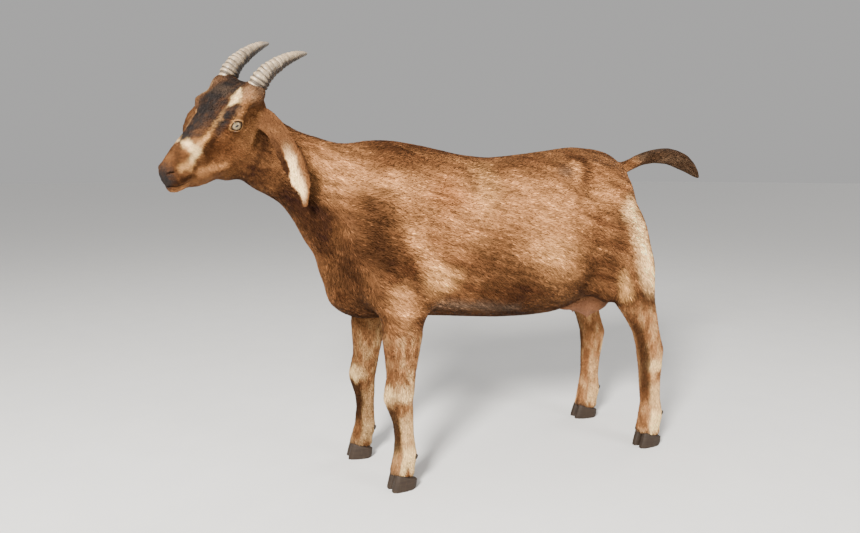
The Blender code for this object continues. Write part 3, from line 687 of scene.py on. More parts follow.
def skin_mesh():
    """The skin: every flesh node fused, smoothed, laid under the coat and worked in detail."""
    guide = Guide()
    thing = joined([node_copy(name, EAR_SWELL if name.startswith("ear_") else SWELL)
                    for name in FLESH])
    thing.name = "skin"
    remesh(thing, SKIN_GRID)
    zones = settle(thing, guide)
    ears = np.clip(zone(zones, "ear_") * 1.5, 0, 1)
    set_points(thing, Net(thing).even(points_of(thing), 14, ears))

    for level in range(3):
        local = in_head(points_of(thing))
        fold = folded(local)
        face = (local[:, 1] < FACE_BACK) & (fold[:, 0] < FACE_HALF) & (local[:, 2] > -0.11)
        eyes = np.linalg.norm(fold - np.array(EYE_LINE), axis=1) < 0.024 - 0.004 * level
        muzzle = patch(fold, MUZZLE_LINE, (20, 24, 12), 0.01, 0) > 0.5
        ear = zone(guide.read(points_of(thing))[1], "ear_") > 0.5
        split_near(thing, (face | ear, eyes | muzzle, eyes)[level])
        local = in_head(points_of(thing))
        face = (local[:, 1] < FACE_BACK) & (np.abs(local[:, 0]) < FACE_HALF)
        set_points(thing, Net(thing).spread(points_of(thing), 2, face.astype(float)))

    set_points(thing, from_head(shape_head(thing, FACE_RELIEF)))
    set_points(thing, from_head(shape_lids(shape_head(thing, MUZZLE_RELIEF))))
    set_points(thing, shape_body(points_of(thing), normals_of(thing)))

    thing.modifiers.new("triangles", "TRIANGULATE")
    apply_modifiers(thing)
    local = in_head(points_of(thing))
    on_head = (local[:, 1] < 0.02) & (np.abs(local[:, 0]) < 0.14) & (local[:, 2] > -0.165)
    thinned(thing, BODY_TRIANGLES, ~on_head)
    _, zones = guide.read(points_of(thing))
    return thing, Net(thing).spread(zones, 8)


class Ear:
    """One ear's own measures, taken from the skin: along it, across it, and which face."""

    def __init__(self, side, points, zones):
        self.side = SIDES[side]
        mine = points[(zone(zones, "ear_") > 0.5) & (in_head(points)[:, 0] * self.side > 0)]
        self.root = from_head([(0.05 * self.side, -0.02, 0.005)])[0]
        opening = turned(z=-HEAD_TURN) @ Vector((0.92, -0.39, 0))
        self.opening = np.array(turned(z=HEAD_TURN) @ Vector((opening.x * self.side, *opening.yz)))
        far = np.linalg.norm(mine - self.root, axis=1)
        self.length = far.max()
        self.stops = np.linspace(0.08, 0.97, 15)
        near = np.abs(far[None, :] / self.length - self.stops[:, None]) < 0.05
        self.line = np.array([mine[row].mean(axis=0) for row in near])
        self.ways = unit(np.gradient(self.line, axis=0))
        self.across = unit(np.cross(self.ways, self.opening))
        self.across *= -np.sign(self.across[:, 1])[:, None]
        self.half = np.array([
            np.percentile(np.abs((mine[row] - centre) @ across), 96)
            for row, centre, across in zip(near, self.line, self.across)
        ])

    def _at(self, part, rows):
        if rows.ndim == 1:
            return np.interp(part, self.stops, rows)
        return np.column_stack([np.interp(part, self.stops, row) for row in rows.T])

    def read(self, points, normals):
        """How far along, how far across toward the front, how much it faces out, and the way."""
        part = np.linalg.norm(points - self.root, axis=1) / self.length
        line, across, half, ways = (
            self._at(part, rows) for rows in (self.line, self.across, self.half, self.ways))
        away = np.sum((points - line) * across, axis=1)
        return part, away / half, normals @ self.opening, ways


# Coat ------------------------------------------------------------------------------------


def marked(colours, places, marks, weight, wobble, size):
    """Lays each soft patch or stripe over the colours in turn."""
    for line, reach, colour, strength in marks:
        mask = patch(places, line, reach, 1.0, wobble, size)
        colours = tinted(colours, (colour, mask * strength * weight))
    return colours


def round_eye(local, side, within):
    """How far outside an eye's opening each place lies, and 1 within a distance of the eye."""
    centre, gaze, front, rise = eye_axes(side)
    away = local - centre
    reach, _ = lid_reach(away, gaze, front, rise)
    return reach, (np.linalg.norm(away, axis=1) < within).astype(float)


def bare_skin(points, zones):
    """1 where the skin shows no hair: nose, lips, lid rims and udder."""
    local = in_head(points)
    face = folded(local)
    bare = np.maximum(patch(face, NOSE_PAD, (12, 9, 9), 0.2, 0.1, 5),
                      patch(face, LIPS, (2.8, 2.6, 1.4), 0.4, 0.1, 5))
    for side in SIDES:
        reach, near = round_eye(local, side, EYE_RADIUS * 1.7)
        bare = np.maximum(bare, (1 - step(0.0026, 0.004, reach)) * near)
    return np.clip(bare * zone(zones, "head") + 0.5 * zone(zones, "udder"), 0, 1)


def paint_head(colours, points, head):
    """Dark forehead, pale streaks, painted highlights on the muzzle, painted shade behind the
    cheek, a pale ring round each eye that is partly painted highlight, dark nose and lid rims, on
    brown.
    """
    local = in_head(points)
    face = folded(local)
    shift = 0.012 * step(0.004, 0.02, -local[:, 0]) * (1 - step(0.04, 0.05, face[:, 0]))
    colours = tinted(colours, (DARK, 0.36 * head))
    colours = marked(colours, face - shift[:, None] * (1, 0, 0), HEAD_MARKS_AND_PAINTED_LIGHT, head, 0.42, 6)
    brow = patch(local, [(-34, -40, 62), (-46, -90, 44)], 14, 1.0, 0.2, 6)
    colours = tinted(colours, ((0.105, 0.052, 0.026), 0.8 * head * brow))
    for side in SIDES:
        reach, near = round_eye(local, side, 0.028)
        # A pale ring round each eye, the lids' own colour with a painted highlight on them, and
        # black at the lids' edge.
        rim = step(0.0014, 0.003, reach) * (1 - step(0.005, 0.009, reach))
        colours = tinted(colours, (LIGHT, 0.38 * rim * near * head),
                         (BLACK, 0.94 * (1 - step(0.0008, 0.0022, reach)) * near * head))
    return tinted(colours, (BLACK, 0.9 * head * patch(face, NOSTRIL, 3.4, 0.5, 0.1)),
                  (BLACK, 0.85 * head * patch(face, MOUTH, (2.2, 2.2, 1), 0.6, 0.1)))


def paint_legs(colours, points, normals, zones):
    """Tan legs, mottled, with pale knees and pasterns and dark fronts below; painted shade on their
    inner sides, and each leg painted lighter or darker as a whole.
    """
    legs = zone(zones, *LEGS)
    fore, left, z = points[:, 1] < 0.1, points[:, 0] > 0, points[:, 2]
    front = step(-0.1, 0.7, -normals[:, 1])
    outer = step(-0.4, 0.4, normals[:, 0] * np.sign(points[:, 0]))
    mottle = clouds(points * (1, 1, 0.45), 0.011, 7, 3)
    tan = tinted(TAN, (CREAM, 0.06 + 0.42 * mottle), (BROWN, 0.7 * step(0.05, 0.8, -mottle)),
                 # Darker down the fronts, and painted shade on the inner sides between the legs.
                 (BROWN, 0.6 * np.maximum(front * step(0.1, 0.13, z), 0.5 * (1 - outer))))

    def band(low, high, soft=0.013):
        at = z + 0.012 * mottle
        return step(low - soft, low + soft, at) * (1 - step(high - soft, high + soft, at))

    hock = band(0.2, 0.226) * step(0.2, 0.8, normals[:, 1] + outer)
    knee = np.where(fore, band(0.206, 0.232) * np.maximum(front, 0.7 * outer), hock)
    ridge = step(0.3, 0.95, front + 0.25 * mottle) * outer
    pale = (band(0.045, 0.1, 0.012) + 0.45 * band(0.11, 0.165, 0.012)) * (0.4 + 0.6 * outer)
    colours = tinted(
        colours, (tan, 0.9 * legs * (1 - step(0.33, 0.42, z + 0.02 * mottle))),
        (CREAM, 0.78 * legs * knee), (DARK, 0.7 * legs * band(0.172, 0.198, 0.01) * front * fore),
        (DARK, 0.85 * legs * band(0.09, 0.18, 0.02) * step(0.25, 0.8, front) * fore),
        (DARK, 0.8 * legs * band(0.13, 0.34, 0.03) * ridge * ~fore),
        (CREAM, 0.85 * legs * pale * (1 - step(0.3, 0.85, front))))
    # Painted light and shade: each leg darker or lighter as a whole, the right foreleg darkest and
    # the right hind leg lightest.
    depth = np.where(fore, np.where(left, 0.84, 0.68), np.where(left, 1.0, 1.2))
    colours = colours * (1 + legs * (depth - 1))[:, None]
    return tinted(colours, (SLATE, 0.7 * legs * band(0.0, 0.048, 0.006) * front))


def paint_ear(colours, points, normals, ear, ears):
    """A pale stripe down the ear, its own colour and mostly a painted highlight; dark beside it,
    with painted shade along the rolled front edge and at the root; the right ear painted dimmer, in
    shade.
    """
    part, across, out, _ = ear.read(points, normals)
    left = ear.side > 0
    face = step(-0.1, 0.4, out) * ears
    inside = across + 0.14 * clouds(points, 0.014, 9, 2)
    # Painted highlight: the pale stripe is partly the ear's own colour and mostly light on it, half
    # as strong on the right ear.
    stripe = step(-0.62, -0.02, inside) * (1 - step(0.34, 0.5, inside))
    stripe *= step(0.3, 0.56, part) * (1 - step(0.84, 0.98, part)) * (1.0 if left else 0.5)
    # The ear's face toward the tip; darker on the right ear, painted shade.
    base = (0.13, 0.055, 0.022) if left else (0.055, 0.026, 0.013)
    return tinted(
        colours, (base, 0.75 * face * step(0.1, 0.5, part)),
        ((0.78, 0.52, 0.27), 0.95 * stripe * face),
        (CREAM, 0.9 * stripe**3 * face * step(0.4, 0.6, part)),
        # Dark along the rolled front edge: its own colour and painted shade.
        (DARK, 0.95 * face * step(0.42, 0.6, inside) * step(0.15, 0.3, part)),
        (DARK, 0.75 * ears * step(0.7, 0.95, -across) * step(0.3, 0.5, part)),
        # Painted shade at the ear's root.
        ((0.07, 0.03, 0.013), 0.75 * ears * (1 - step(0.3, 0.55, part))),
        (DARK, 0.45 * ears * (1 - step(0.2, 0.45, part)) * (1 - face)))


def paint(points, normals, zones, ears):
    """The coat's colour at each place, painted highlights and shade included, the same for the skin
    and for the tufts over it.
    """
    down, along = points[:, 2], points[:, 1]
    drawn = np.column_stack((points[:, 0] / 0.03, (along - 0.33 * down) / 0.085,
                             (down + 0.33 * along) / 0.016))
    streaks, broad = clouds(drawn, 1.0, 2, 3), clouds(points, 0.11, 5, 2)
    fine = clouds(drawn * (1, 2.4, 3.0), 1.0, 12, 2)
    body = zone(zones, *BODY)
    breast = zone(zones, "trunk") * (1 - step(-0.3, -0.1, along))
    calm = 1 - 0.5 * zone(zones, "neck") - 0.4 * breast
    under, low = step(0.35, 0.9, -normals[:, 2]), 1 - step(0.38, 0.58, down)
    colours = tinted(
        BROWN, (GOLD, 0.2 + (0.2 * broad + 0.24 * streaks) * calm),
        (DARK, 0.12 - (0.22 * broad + 0.26 * streaks) * calm),
        # Painted shade under the body and over its lower part.
        (DARK, (0.4 * under + 0.38 * low) * body),
        # Painted shade along the top of the back.
        (DARK, 0.5 * body * step(0.5, 0.95, normals[:, 2])))
    colours = marked(colours, folded(points), BODY_MARKS_AND_PAINTED_LIGHT, body * (1 + 0.22 * streaks), 0.3, 30)
    colours = colours * np.exp(0.44 * fine * body)[:, None]
    colours = paint_head(colours, points, np.clip(zone(zones, "head") * 1.6, 0, 1))
    colours = paint_legs(colours, points, normals, zones)
    for ear in ears:
        mine = zone(zones, "ear_") * (in_head(points)[:, 0] * ear.side > 0)
        colours = paint_ear(colours, points, normals, ear, np.clip(mine * 1.5, 0, 1))
    back, up = along - 0.575, down - 0.585
    arc = np.column_stack((points[:, 0], np.hypot(back, up), 0.012 * np.arctan2(up, back)))
    tail = tinted((0.085, 0.052, 0.031), (DARK, 0.45 + 0.35 * clouds(arc, 0.0085, 8, 1)))
    teat = 1 - step(0.33, 0.35, down)
    bag = tinted((0.17, 0.072, 0.032), (PINK, 0.2 + 0.45 * teat + 0.3 * broad))
    colours = tinted(colours, (tail, 0.95 * np.clip(1.6 * zone(zones, "tail"), 0, 1)),
                     (bag, 0.85 * zone(zones, "udder")))
    return np.clip(colours, 0.005, 0.95)


def lie_of_coat(points, normals, zones, ears):
    """The way the hair lies at each place, along the skin."""
    z, y = points[:, 2], points[:, 1]

    def ways(x, y, z):
        columns = [np.broadcast_to(value, len(points)) for value in (x, y, z)]
        return np.column_stack(columns).astype(float)

    rear = step(0.3, 0.8, normals[:, 1]) * step(0.32, 0.4, y)
    breast = step(0.3, 0.8, -normals[:, 1]) * (1 - step(-0.3, -0.22, y))
    hang = (0.12 + 0.5 * step(0.4, 0.7, 1.1 - z)) * (1 - step(0.4, 0.9, -normals[:, 2]))
    steep = np.maximum(rear, breast)
    local = in_head(points)
    face = ways(0.15 * np.sign(local[:, 0]), 1, -0.35 + 0.6 * np.clip(local[:, 2] / 0.05, -1, 1))
    flow = ways(0, 1 - 0.8 * steep, -hang - 0.7 * steep) * zone(zones, "trunk")[:, None]
    for way, words in (
            (ways(0, 0.75, -0.65), ["neck"]), (ways(0, 0.4, -0.92), ["thigh"]),
            (ways(0, 0.12, -1), LEGS), (ways(0, 0.9, 0.45 - 1.3 * (y - 0.453) / 0.23), ["tail"]),
            (ways(0, -0.2, -1), ["udder"]), (face @ np.array(HEAD_WAY).T, ["head"])):
        flow += way * zone(zones, *words)[:, None]
    for ear in ears:
        mine = zone(zones, "ear_") * (local[:, 0] * ear.side > 0)
        flow += ear.read(points, normals)[3] * mine[:, None]
    return unit(flow - normals * np.sum(flow * normals, axis=1)[:, None])


def unwrapped(skin):
    """A light copy of the skin laid out flat: its surface tree, corners and places on the map."""
    only(skin)
    bpy.ops.object.duplicate()
    light = bpy.context.view_layer.objects.active
    thinned(light, MAP_TRIANGLES)
    only(light)
    in_edit_mode(bpy.ops.uv.smart_project, angle_limit=math.radians(66), island_margin=0.006)
    mesh = light.data
    mesh.calc_loop_triangles()
    loops = np.array([tri.loops for tri in mesh.loop_triangles])
    places = np.empty(len(mesh.loops) * 2)
    mesh.uv_layers.active.data.foreach_get("uv", places)
    places = places.reshape(-1, 2)[loops]
    corners, tree = points_of(light)[triangles_of(light)], tree_of(light)
    bpy.data.objects.remove(light, do_unlink=True)
    return tree, corners, places


def map_places(roots, light):
    """Where each root lies on the unwrapped skin."""
    tree, corners, places = light
    found = [tree.find_nearest(Vector(root)) for root in roots]
    near = np.array([hit[0] for hit in found])
    face = np.array([hit[2] for hit in found])
    a, b, c = corners[face].transpose(1, 0, 2)
    whole = np.cross(b - a, c - a)
    size = np.maximum(np.sum(whole * whole, axis=1), 1e-18)
    share_b = np.sum(np.cross(near - a, c - a) * whole, axis=1) / size
    share_c = np.sum(np.cross(b - a, near - a) * whole, axis=1) / size
    shares = np.clip(np.column_stack((1 - share_b - share_c, share_b, share_c)), 0, 1)
    return in_sum(places, face, shares)


def snapped(places, tree):
    """The nearest places on the skin, and its way out there."""
    found = [tree.find_nearest(Vector(place)) for place in places]
    return np.array([hit[0] for hit in found]), np.array([hit[1] for hit in found])


def tuft_roots(skin, zones, random):
    """Random roots over the skin, denser where the tufts are smaller: triangles and shares."""
    points, corners = points_of(skin), triangles_of(skin)
    a, b, c = points[corners].transpose(1, 0, 2)
    area = np.linalg.norm(np.cross(b - a, c - a), axis=1) / 2

    def over_faces(values):
        return values[corners].mean(axis=1)

    dense = over_faces(zones @ np.array([TUFT_SIZES[word] for word in ZONES])[:, 3])
    local = in_head((a + b + c) / 3)
    muzzle = over_faces(zone(zones, "head")) * step(0.12, 0.19, -local[:, 1])
    dense = dense * (1 + 0.9 * muzzle)
    bare = over_faces(bare_skin(points, zones)) * (1 - 0.8 * over_faces(zone(zones, "udder")))
    dense = dense * (1 - step(0.3, 0.6, bare))
    total = np.cumsum(area * dense)
    pick = np.searchsorted(total, (np.arange(TUFTS) + random.random(TUFTS)) / TUFTS * total[-1])
    u, v = np.sqrt(random.random(TUFTS)), random.random(TUFTS)
    return corners[pick], np.column_stack((1 - u, u * (1 - v), u * v))


def tufts(skin, zones, ears):
    """The tufts of the coat, as a few meshes over the skin."""
    random = np.random.default_rng(7)
    corners, shares = tuft_roots(skin, zones, random)
    roots = in_sum(points_of(skin), corners, shares)
    normals = unit(in_sum(normals_of(skin), corners, shares))
    kinds = in_sum(zones, corners, shares)
    count = len(roots)
    flow = lie_of_coat(roots, normals, kinds, ears)
    turn = 0.22 * clouds(roots, 0.03, 11, 2) + 0.12 * random.standard_normal(count)
    flow = flow * np.cos(turn)[:, None] + np.cross(normals, flow) * np.sin(turn)[:, None]
    length, half, lift, _ = (kinds @ np.array([TUFT_SIZES[word] for word in ZONES])).T
    shorter = 1 - 0.55 * zone(kinds, "head") * step(0.11, 0.19, -in_head(roots)[:, 1])
    length = length * shorter * (0.72 + 0.5 * random.random(count))
    half = half * (0.5 + 0.5 * shorter) * (0.75 + 0.5 * random.random(count))
    lift = lift * shorter * (0.45 + 0.9 * random.random(count))
    fringe = zone(kinds, "pastern") * (1 - step(0.04, 0.052, roots[:, 2]))
    length, lift = length * (1 + 0.45 * fringe), lift * (1 + 2.2 * fringe)

    tree = tree_of(skin)
    middles, middle_out = snapped(roots + flow * length[:, None] * 0.5, tree)
    tips, tip_out = snapped(roots + flow * length[:, None], tree)
    middles = middles + middle_out * (0.0003 + lift * 0.45)[:, None]
    tips = tips + tip_out * lift[:, None]
    starts = roots - normals * 0.0005
    wide, high = unit(np.cross(flow, normals)) * half[:, None], 0.2 * half[:, None]
    rings = np.stack((
        starts + wide, starts - wide, starts + normals * high,
        middles + wide * 0.8, middles - wide * 0.8, middles + middle_out * high, tips), axis=1)

    tone = 1 + (0.24 - 0.17 * zone(kinds, "tail")) * random.standard_normal(count)
    colours = paint(roots, normals, kinds, ears) * np.clip(tone, 0.55, 1.6)[:, None]
    colours = colours * (1 + 0.75 * (random.random(count) > 0.86) * zone(kinds, *BODY))[:, None]
    # Painted shade at each tuft's root, lighter toward its tip.
    root_shade_along_tuft = np.array((0.86, 0.86, 0.9, 1.0, 1.0, 1.04, 1.16))
    colours = np.clip(colours[:, None, :] * root_shade_along_tuft[None, :, None], 0.004, 0.95)

    spread = np.array(((-1, -1), (1, -1), (0, -1), (-1, 0.3), (1, 0.3), (0, 0.3), (0, 1)))
    flat = map_places(roots, unwrapped(skin))[:, None, :] + spread[None] * TUFT_ON_MAP
    flat = np.clip(flat, 0.0005, 0.9995)
    order = np.lexsort((roots[:, 1], kinds.argmax(axis=1)))
    pieces = np.array_split(order, math.ceil(count / TUFTS_A_PIECE))
    return [coat_piece(f"coat_{number + 1}", rings[part], flat[part], colours[part])
            for number, part in enumerate(pieces)]


def coat_piece(name, rings, flat, colours):
    """One mesh of tufts: each a thin closed blade with three corners, three more and a tip."""
    blade = np.array((
        (0, 3, 5), (0, 5, 2), (2, 5, 4), (2, 4, 1), (1, 4, 3), (1, 3, 0),
        (3, 6, 5), (5, 6, 4), (4, 6, 3), (0, 2, 1)))
    faces = (np.arange(len(rings))[:, None, None] * 7 + blade[None]).reshape(-1, 3)
    mesh = bpy.data.meshes.new(name)
    mesh.vertices.add(len(rings) * 7)
    mesh.vertices.foreach_set("co", rings.ravel())
    mesh.loops.add(faces.size)
    mesh.loops.foreach_set("vertex_index", faces.ravel())
    mesh.polygons.add(len(faces))
    mesh.polygons.foreach_set("loop_start", np.arange(0, faces.size, 3))
    mesh.update(calc_edges=True)
    mesh.validate()
    flat_map = mesh.uv_layers.new(name="OFBake")
    flat_map.data.foreach_set("uv", flat.reshape(-1, 2)[faces.ravel()].ravel())
    piece = new_object(name, mesh)
    set_attribute(piece, "tint", colours.reshape(-1, 3))
    return piece


# Finishes --------------------------------------------------------------------------------


class Value:
    """One output of a material's nodes; sums and products of these add Math nodes."""

    def __init__(self, finish, socket):
        self.finish, self.socket = finish, socket

    def _with(self, operation, *values):
        return self.finish.node("ShaderNodeMath", {"operation": operation}, values)

    def __add__(self, other):
        return self._with("ADD", self, other)

    def __sub__(self, other):
        return self._with("SUBTRACT", self, other)

    def __rsub__(self, other):
        return self._with("SUBTRACT", other, self)

    def __mul__(self, other):
        return self._with("MULTIPLY", self, other)

    def __truediv__(self, other):
        return self._with("DIVIDE", self, other)

    def __pow__(self, other):
        return self._with("POWER", self, other)

    __radd__, __rmul__ = __add__, __mul__


class Finish:
    """A material, and the nodes that make it."""

    def __init__(self, name):
        self.material = bpy.data.materials.new(name)
        self.material.use_nodes = True
        self.tree = self.material.node_tree
        self.tree.nodes.clear()

    def node(self, kind, settings, inputs=(), output=0):
        made = self.tree.nodes.new(kind)
        for name, value in settings.items():
            setattr(made, name, value)
        for place, value in inputs.items() if isinstance(inputs, dict) else enumerate(inputs):
            if isinstance(value, Value):
                self.tree.links.new(value.socket, made.inputs[place])
            else:
                made.inputs[place].default_value = value
        return Value(self, made.outputs[output])

    def attribute(self, name, output="Fac"):
        return self.node("ShaderNodeAttribute", {"attribute_name": name}, (), output)

    def noise(self, at, scale, detail=3.0, rough=0.55, warp=0.0):
        return self.node("ShaderNodeTexNoise", {"noise_dimensions": "3D"}, {
            "Vector": at, "Scale": scale, "Detail": detail, "Roughness": rough, "Distortion": warp})

    def placed(self, turn=(0, 0, 0), scale=(1, 1, 1)):
        """Object coordinates, turned and then stretched."""
        at = self.node("ShaderNodeTexCoord", {}, (), "Object")
        turn = [math.radians(part) for part in turn]
        for name, value in (("Rotation", turn), ("Scale", scale)):
            at = self.node("ShaderNodeMapping", {}, {"Vector": at, name: value})
        return at

    def ease(self, value, low, high):
        """0 below low and 1 above high."""
        return self.node("ShaderNodeMapRange", {"interpolation_type": "SMOOTHSTEP"}, {
            "Value": value, "From Min": low, "From Max": high})

    def mix(self, part, first, second):
        def full(colour):
            return colour if isinstance(colour, Value) else (*colour, 1.0)
        return self.node("ShaderNodeMix", {"data_type": "RGBA"}, {
            0: part, 6: full(first), 7: full(second)}, 2)

    def over(self, base, colour, value, low, high, amount):
        """The colour laid over the base by an amount, where the value goes from low to high."""
        return self.mix(self.ease(value, low, high) * amount, base, colour)

    def shaded(self, colour, amount):
        """The colour, made darker or lighter by a number that varies."""
        return self.node("ShaderNodeVectorMath", {"operation": "SCALE"}, {
            0: colour, "Scale": amount})

    def bump(self, height, distance, strength=1.0):
        return self.node("ShaderNodeBump", {}, {
            "Strength": strength, "Distance": distance, "Height": height})

    def surface(self, colour, roughness, normal, **constants):
        sockets = {"Base Color": colour, "Roughness": roughness, "Normal": normal}
        sockets.update({name.replace("_", " "): value for name, value in constants.items()})
        shader = self.node("ShaderNodeBsdfPrincipled", {}, sockets)
        end = self.tree.nodes.new("ShaderNodeOutputMaterial")
        self.tree.links.new(shader.socket, end.inputs["Surface"])
        return self.material


def skin_finish():
    """Short glossy hair over skin: combed streaks and their bump, bare on nose, lips and udder."""
    finish = Finish("short_brown_coat")
    tint, bare = finish.attribute("tint", "Color"), finish.attribute("bare")
    combed = [
        (finish.attribute("on_body"), finish.placed((-19, 0, 0), (240, 22, 260))),
        (finish.attribute("on_legs"), finish.placed((0, 0, 0), (380, 380, 45))),
        (finish.attribute("on_head"), finish.placed((HEAD_DROP, 0, -HEAD_TURN), (480, 70, 480))),
    ]
    hair = sum((part * finish.noise(at, 1.0, 4.0, 0.62, 0.35) for part, at in combed), start=0.0)
    patches = finish.noise(finish.placed(), 38.0, 4.0, 0.6, 0.4)
    pores = finish.node("ShaderNodeTexVoronoi", {"feature": "DISTANCE_TO_EDGE"}, {
        "Vector": finish.placed(), "Scale": 1000.0})
    shade = 0.34 + hair * 1.0 + patches * 0.36
    shade = shade * (1 - bare) + bare * (0.72 + patches * 0.5)
    colour = finish.shaded(tint, shade)
    height = hair * (1 - bare) + finish.ease(pores, 0.0, 0.25) * bare * 0.3
    roughness = 0.62 - hair * 0.24 - bare * 0.1
    return finish.surface(colour, roughness, finish.bump(height, 0.0011, 0.9), **HAIR_SHINE)


def tuft_finish():
    """Each tuft of hair: its own tint, streaked along its length."""
    finish = Finish("coat_tufts")
    tint = finish.attribute("tint", "Color")
    grain = finish.noise(finish.placed(), 900.0, 2.0, 0.6)
    broad = finish.noise(finish.placed(), 60.0, 3.0, 0.6)
    colour = finish.shaded(tint, 0.55 + grain * 0.42 + broad * 0.48)
    return finish.surface(colour, 0.66 - grain * 0.2, finish.bump(grain, 0.0004, 0.6), **HAIR_SHINE)


def horn_finish():
    """Ringed horn: pale ridges, dark grooves, lengthwise grain and a worn polish."""
    finish = Finish("ringed_horn")
    rings, along = finish.attribute("ring"), finish.attribute("along")
    grain = finish.noise(finish.attribute("fibre", "Vector"), 1.0, 4.0, 0.6, 0.2)
    blotch = finish.noise(finish.placed(), 70.0, 4.0, 0.6, 0.5)
    # The tint holds the horn's painted light and shade.
    colour = finish.shaded(finish.attribute("tint", "Color"), 0.35 + blotch * 1.25)
    colour = finish.over(colour, (0.075, 0.052, 0.034), grain, 0.5, 0.72, 0.5)
    colour = finish.over(colour, (0.16, 0.13, 0.1), along, 0.72, 1.0, 0.6)
    colour = finish.over(colour, (0.14, 0.11, 0.09), along, 0.1, 0.0, 0.5)
    colour = finish.over(colour, (0.03, 0.02, 0.013), rings, 0.15, 0.9, 0.88)
    roughness = 0.26 + rings * 0.3 + blotch * 0.12
    return finish.surface(colour, roughness, finish.bump(grain * 0.8 + blotch * 0.5, 0.0004, 0.6),
                          Specular_IOR_Level=0.5)


def hoof_finish():
    """Dark horn of the hooves: growth lines round, fine grain down, scuffed pale at the edges."""
    finish = Finish("hoof_horn")
    grain = finish.noise(finish.placed((0, 0, 0), (520, 520, 60)), 1.0, 4.0, 0.6, 0.2)
    lines = finish.noise(finish.placed((0, 0, 0), (30, 30, 420)), 1.0, 3.0, 0.5, 0.2)
    scuff = finish.noise(finish.placed(), 120.0, 5.0, 0.7, 0.6)
    low = finish.attribute("low")
    colour = finish.mix(lines, (0.008, 0.0052, 0.0036), (0.034, 0.021, 0.013))
    colour = finish.over(colour, (0.05, 0.034, 0.022), grain, 0.5, 0.8, 0.4)
    colour = finish.over(colour, (0.14, 0.1, 0.065), scuff, 0.56, 0.74, 0.1 + low * 0.4)
    roughness = 0.52 + scuff * 0.22
    return finish.surface(colour, roughness, finish.bump(grain * 0.5 + lines * 0.7, 0.0006, 0.8),
                          Specular_IOR_Level=0.22)


def eye_finish():
    """The eyeball: a pale iris with fibres, a small level pupil, a dark edge, wet all over, and
    painted shade of the upper lid across its top.
    """
    finish = Finish("eyeball")
    at = finish.attribute("in_eye", "Vector")
    parts = finish.node("ShaderNodeSeparateXYZ", {}, [at]).socket.node.outputs
    x, y = Value(finish, parts["X"]), Value(finish, parts["Y"])
    out = (x * x + y * y) ** 0.5
    fibres = finish.noise(finish.node("ShaderNodeVectorMath", {"operation": "NORMALIZE"}, [
        finish.node("ShaderNodeCombineXYZ", {}, [x, y, 0.0])]), 16.0, 4.0, 0.7, 0.3)
    cloud = finish.noise(at, 5.0, 4.0, 0.6, 0.4)
    iris = finish.mix(finish.ease(fibres, 0.3, 0.7), (0.07, 0.045, 0.022), (0.235, 0.17, 0.088))
    iris = finish.over(iris, (0.26, 0.2, 0.12), cloud, 0.45, 0.75, 0.4)
    iris = finish.over(iris, (0.03, 0.018, 0.01), out, 0.34, 0.6, 0.92)
    white = finish.mix(cloud, (0.3, 0.21, 0.16), (0.46, 0.36, 0.29))
    colour = finish.mix(finish.ease(out, 0.68, 0.74), iris, white)
    # Painted shade of the upper lid over the top of the eye.
    colour = finish.shaded(colour, 1 - finish.ease(y, 0.1, 0.55) * 0.6)
    pupil = ((x / 0.24) ** 2.0 + (y / 0.125) ** 2.0) ** 0.5
    colour = finish.mix(finish.ease(pupil + cloud * 0.15, 1.28, 1.0), colour, (0.003, 0.003, 0.003))
    return finish.surface(colour, 0.12 + out * 0.05, finish.bump(fibres, 0.0001, 0.3),
                          Specular_IOR_Level=0.25, Coat_Weight=0.25, Coat_Roughness=0.04)


def floor_finish():
    """Pale and faintly mottled, lighter far off."""
    finish = Finish("pale_floor")
    speck = finish.noise(finish.placed(), 9.0, 4.0, 0.6)
    far = finish.node("ShaderNodeVectorMath", {"operation": "LENGTH"}, [
        finish.node("ShaderNodeTexCoord", {}, (), "Object")], "Value")
    near = finish.mix(speck, (0.7, 0.7, 0.69), (0.76, 0.76, 0.75))
    colour = finish.mix(finish.ease(far, 2.0, 11.0), near, (0.815, 0.815, 0.81))
    return finish.surface(colour, 0.72 + speck * 0.1, finish.bump(speck, 0.0005, 0.2))


# Pieces ----------------------------------------------------------------------------------


def placed_as(piece, slot, finish, *nodes):
    """Smooths the piece's shading, rides the root, stands for the nodes and takes the finish; the
    slot is not used.
    """
    only(piece)
    bpy.ops.object.shade_smooth()
    piece.data.materials.clear()
    piece.data.materials.append(finish)
    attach(piece, "root")
    if nodes:
        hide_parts(*nodes)


def make_skin_and_coat():
    skin, zones = skin_mesh()
    points, normals = points_of(skin), normals_of(skin)
    ears = [Ear(side, points, zones) for side in SIDES]
    set_attribute(skin, "tint", paint(points, normals, zones, ears) * SKIN_SHADE)
    set_attribute(skin, "bare", bare_skin(points, zones))
    set_attribute(skin, "on_body", zone(zones, *BODY))
    set_attribute(skin, "on_legs", zone(zones, *LEGS, "udder"))
    set_attribute(skin, "on_head", zone(zones, "head", "ear_", "tail"))
    finish = tuft_finish()
    for piece in tufts(skin, zones, ears):
        placed_as(piece, "brown_coat", finish)
    flesh = [name for name in FLESH if not name.startswith("eye_")]
    placed_as(skin, "brown_coat", skin_finish(), *flesh)
    return skin


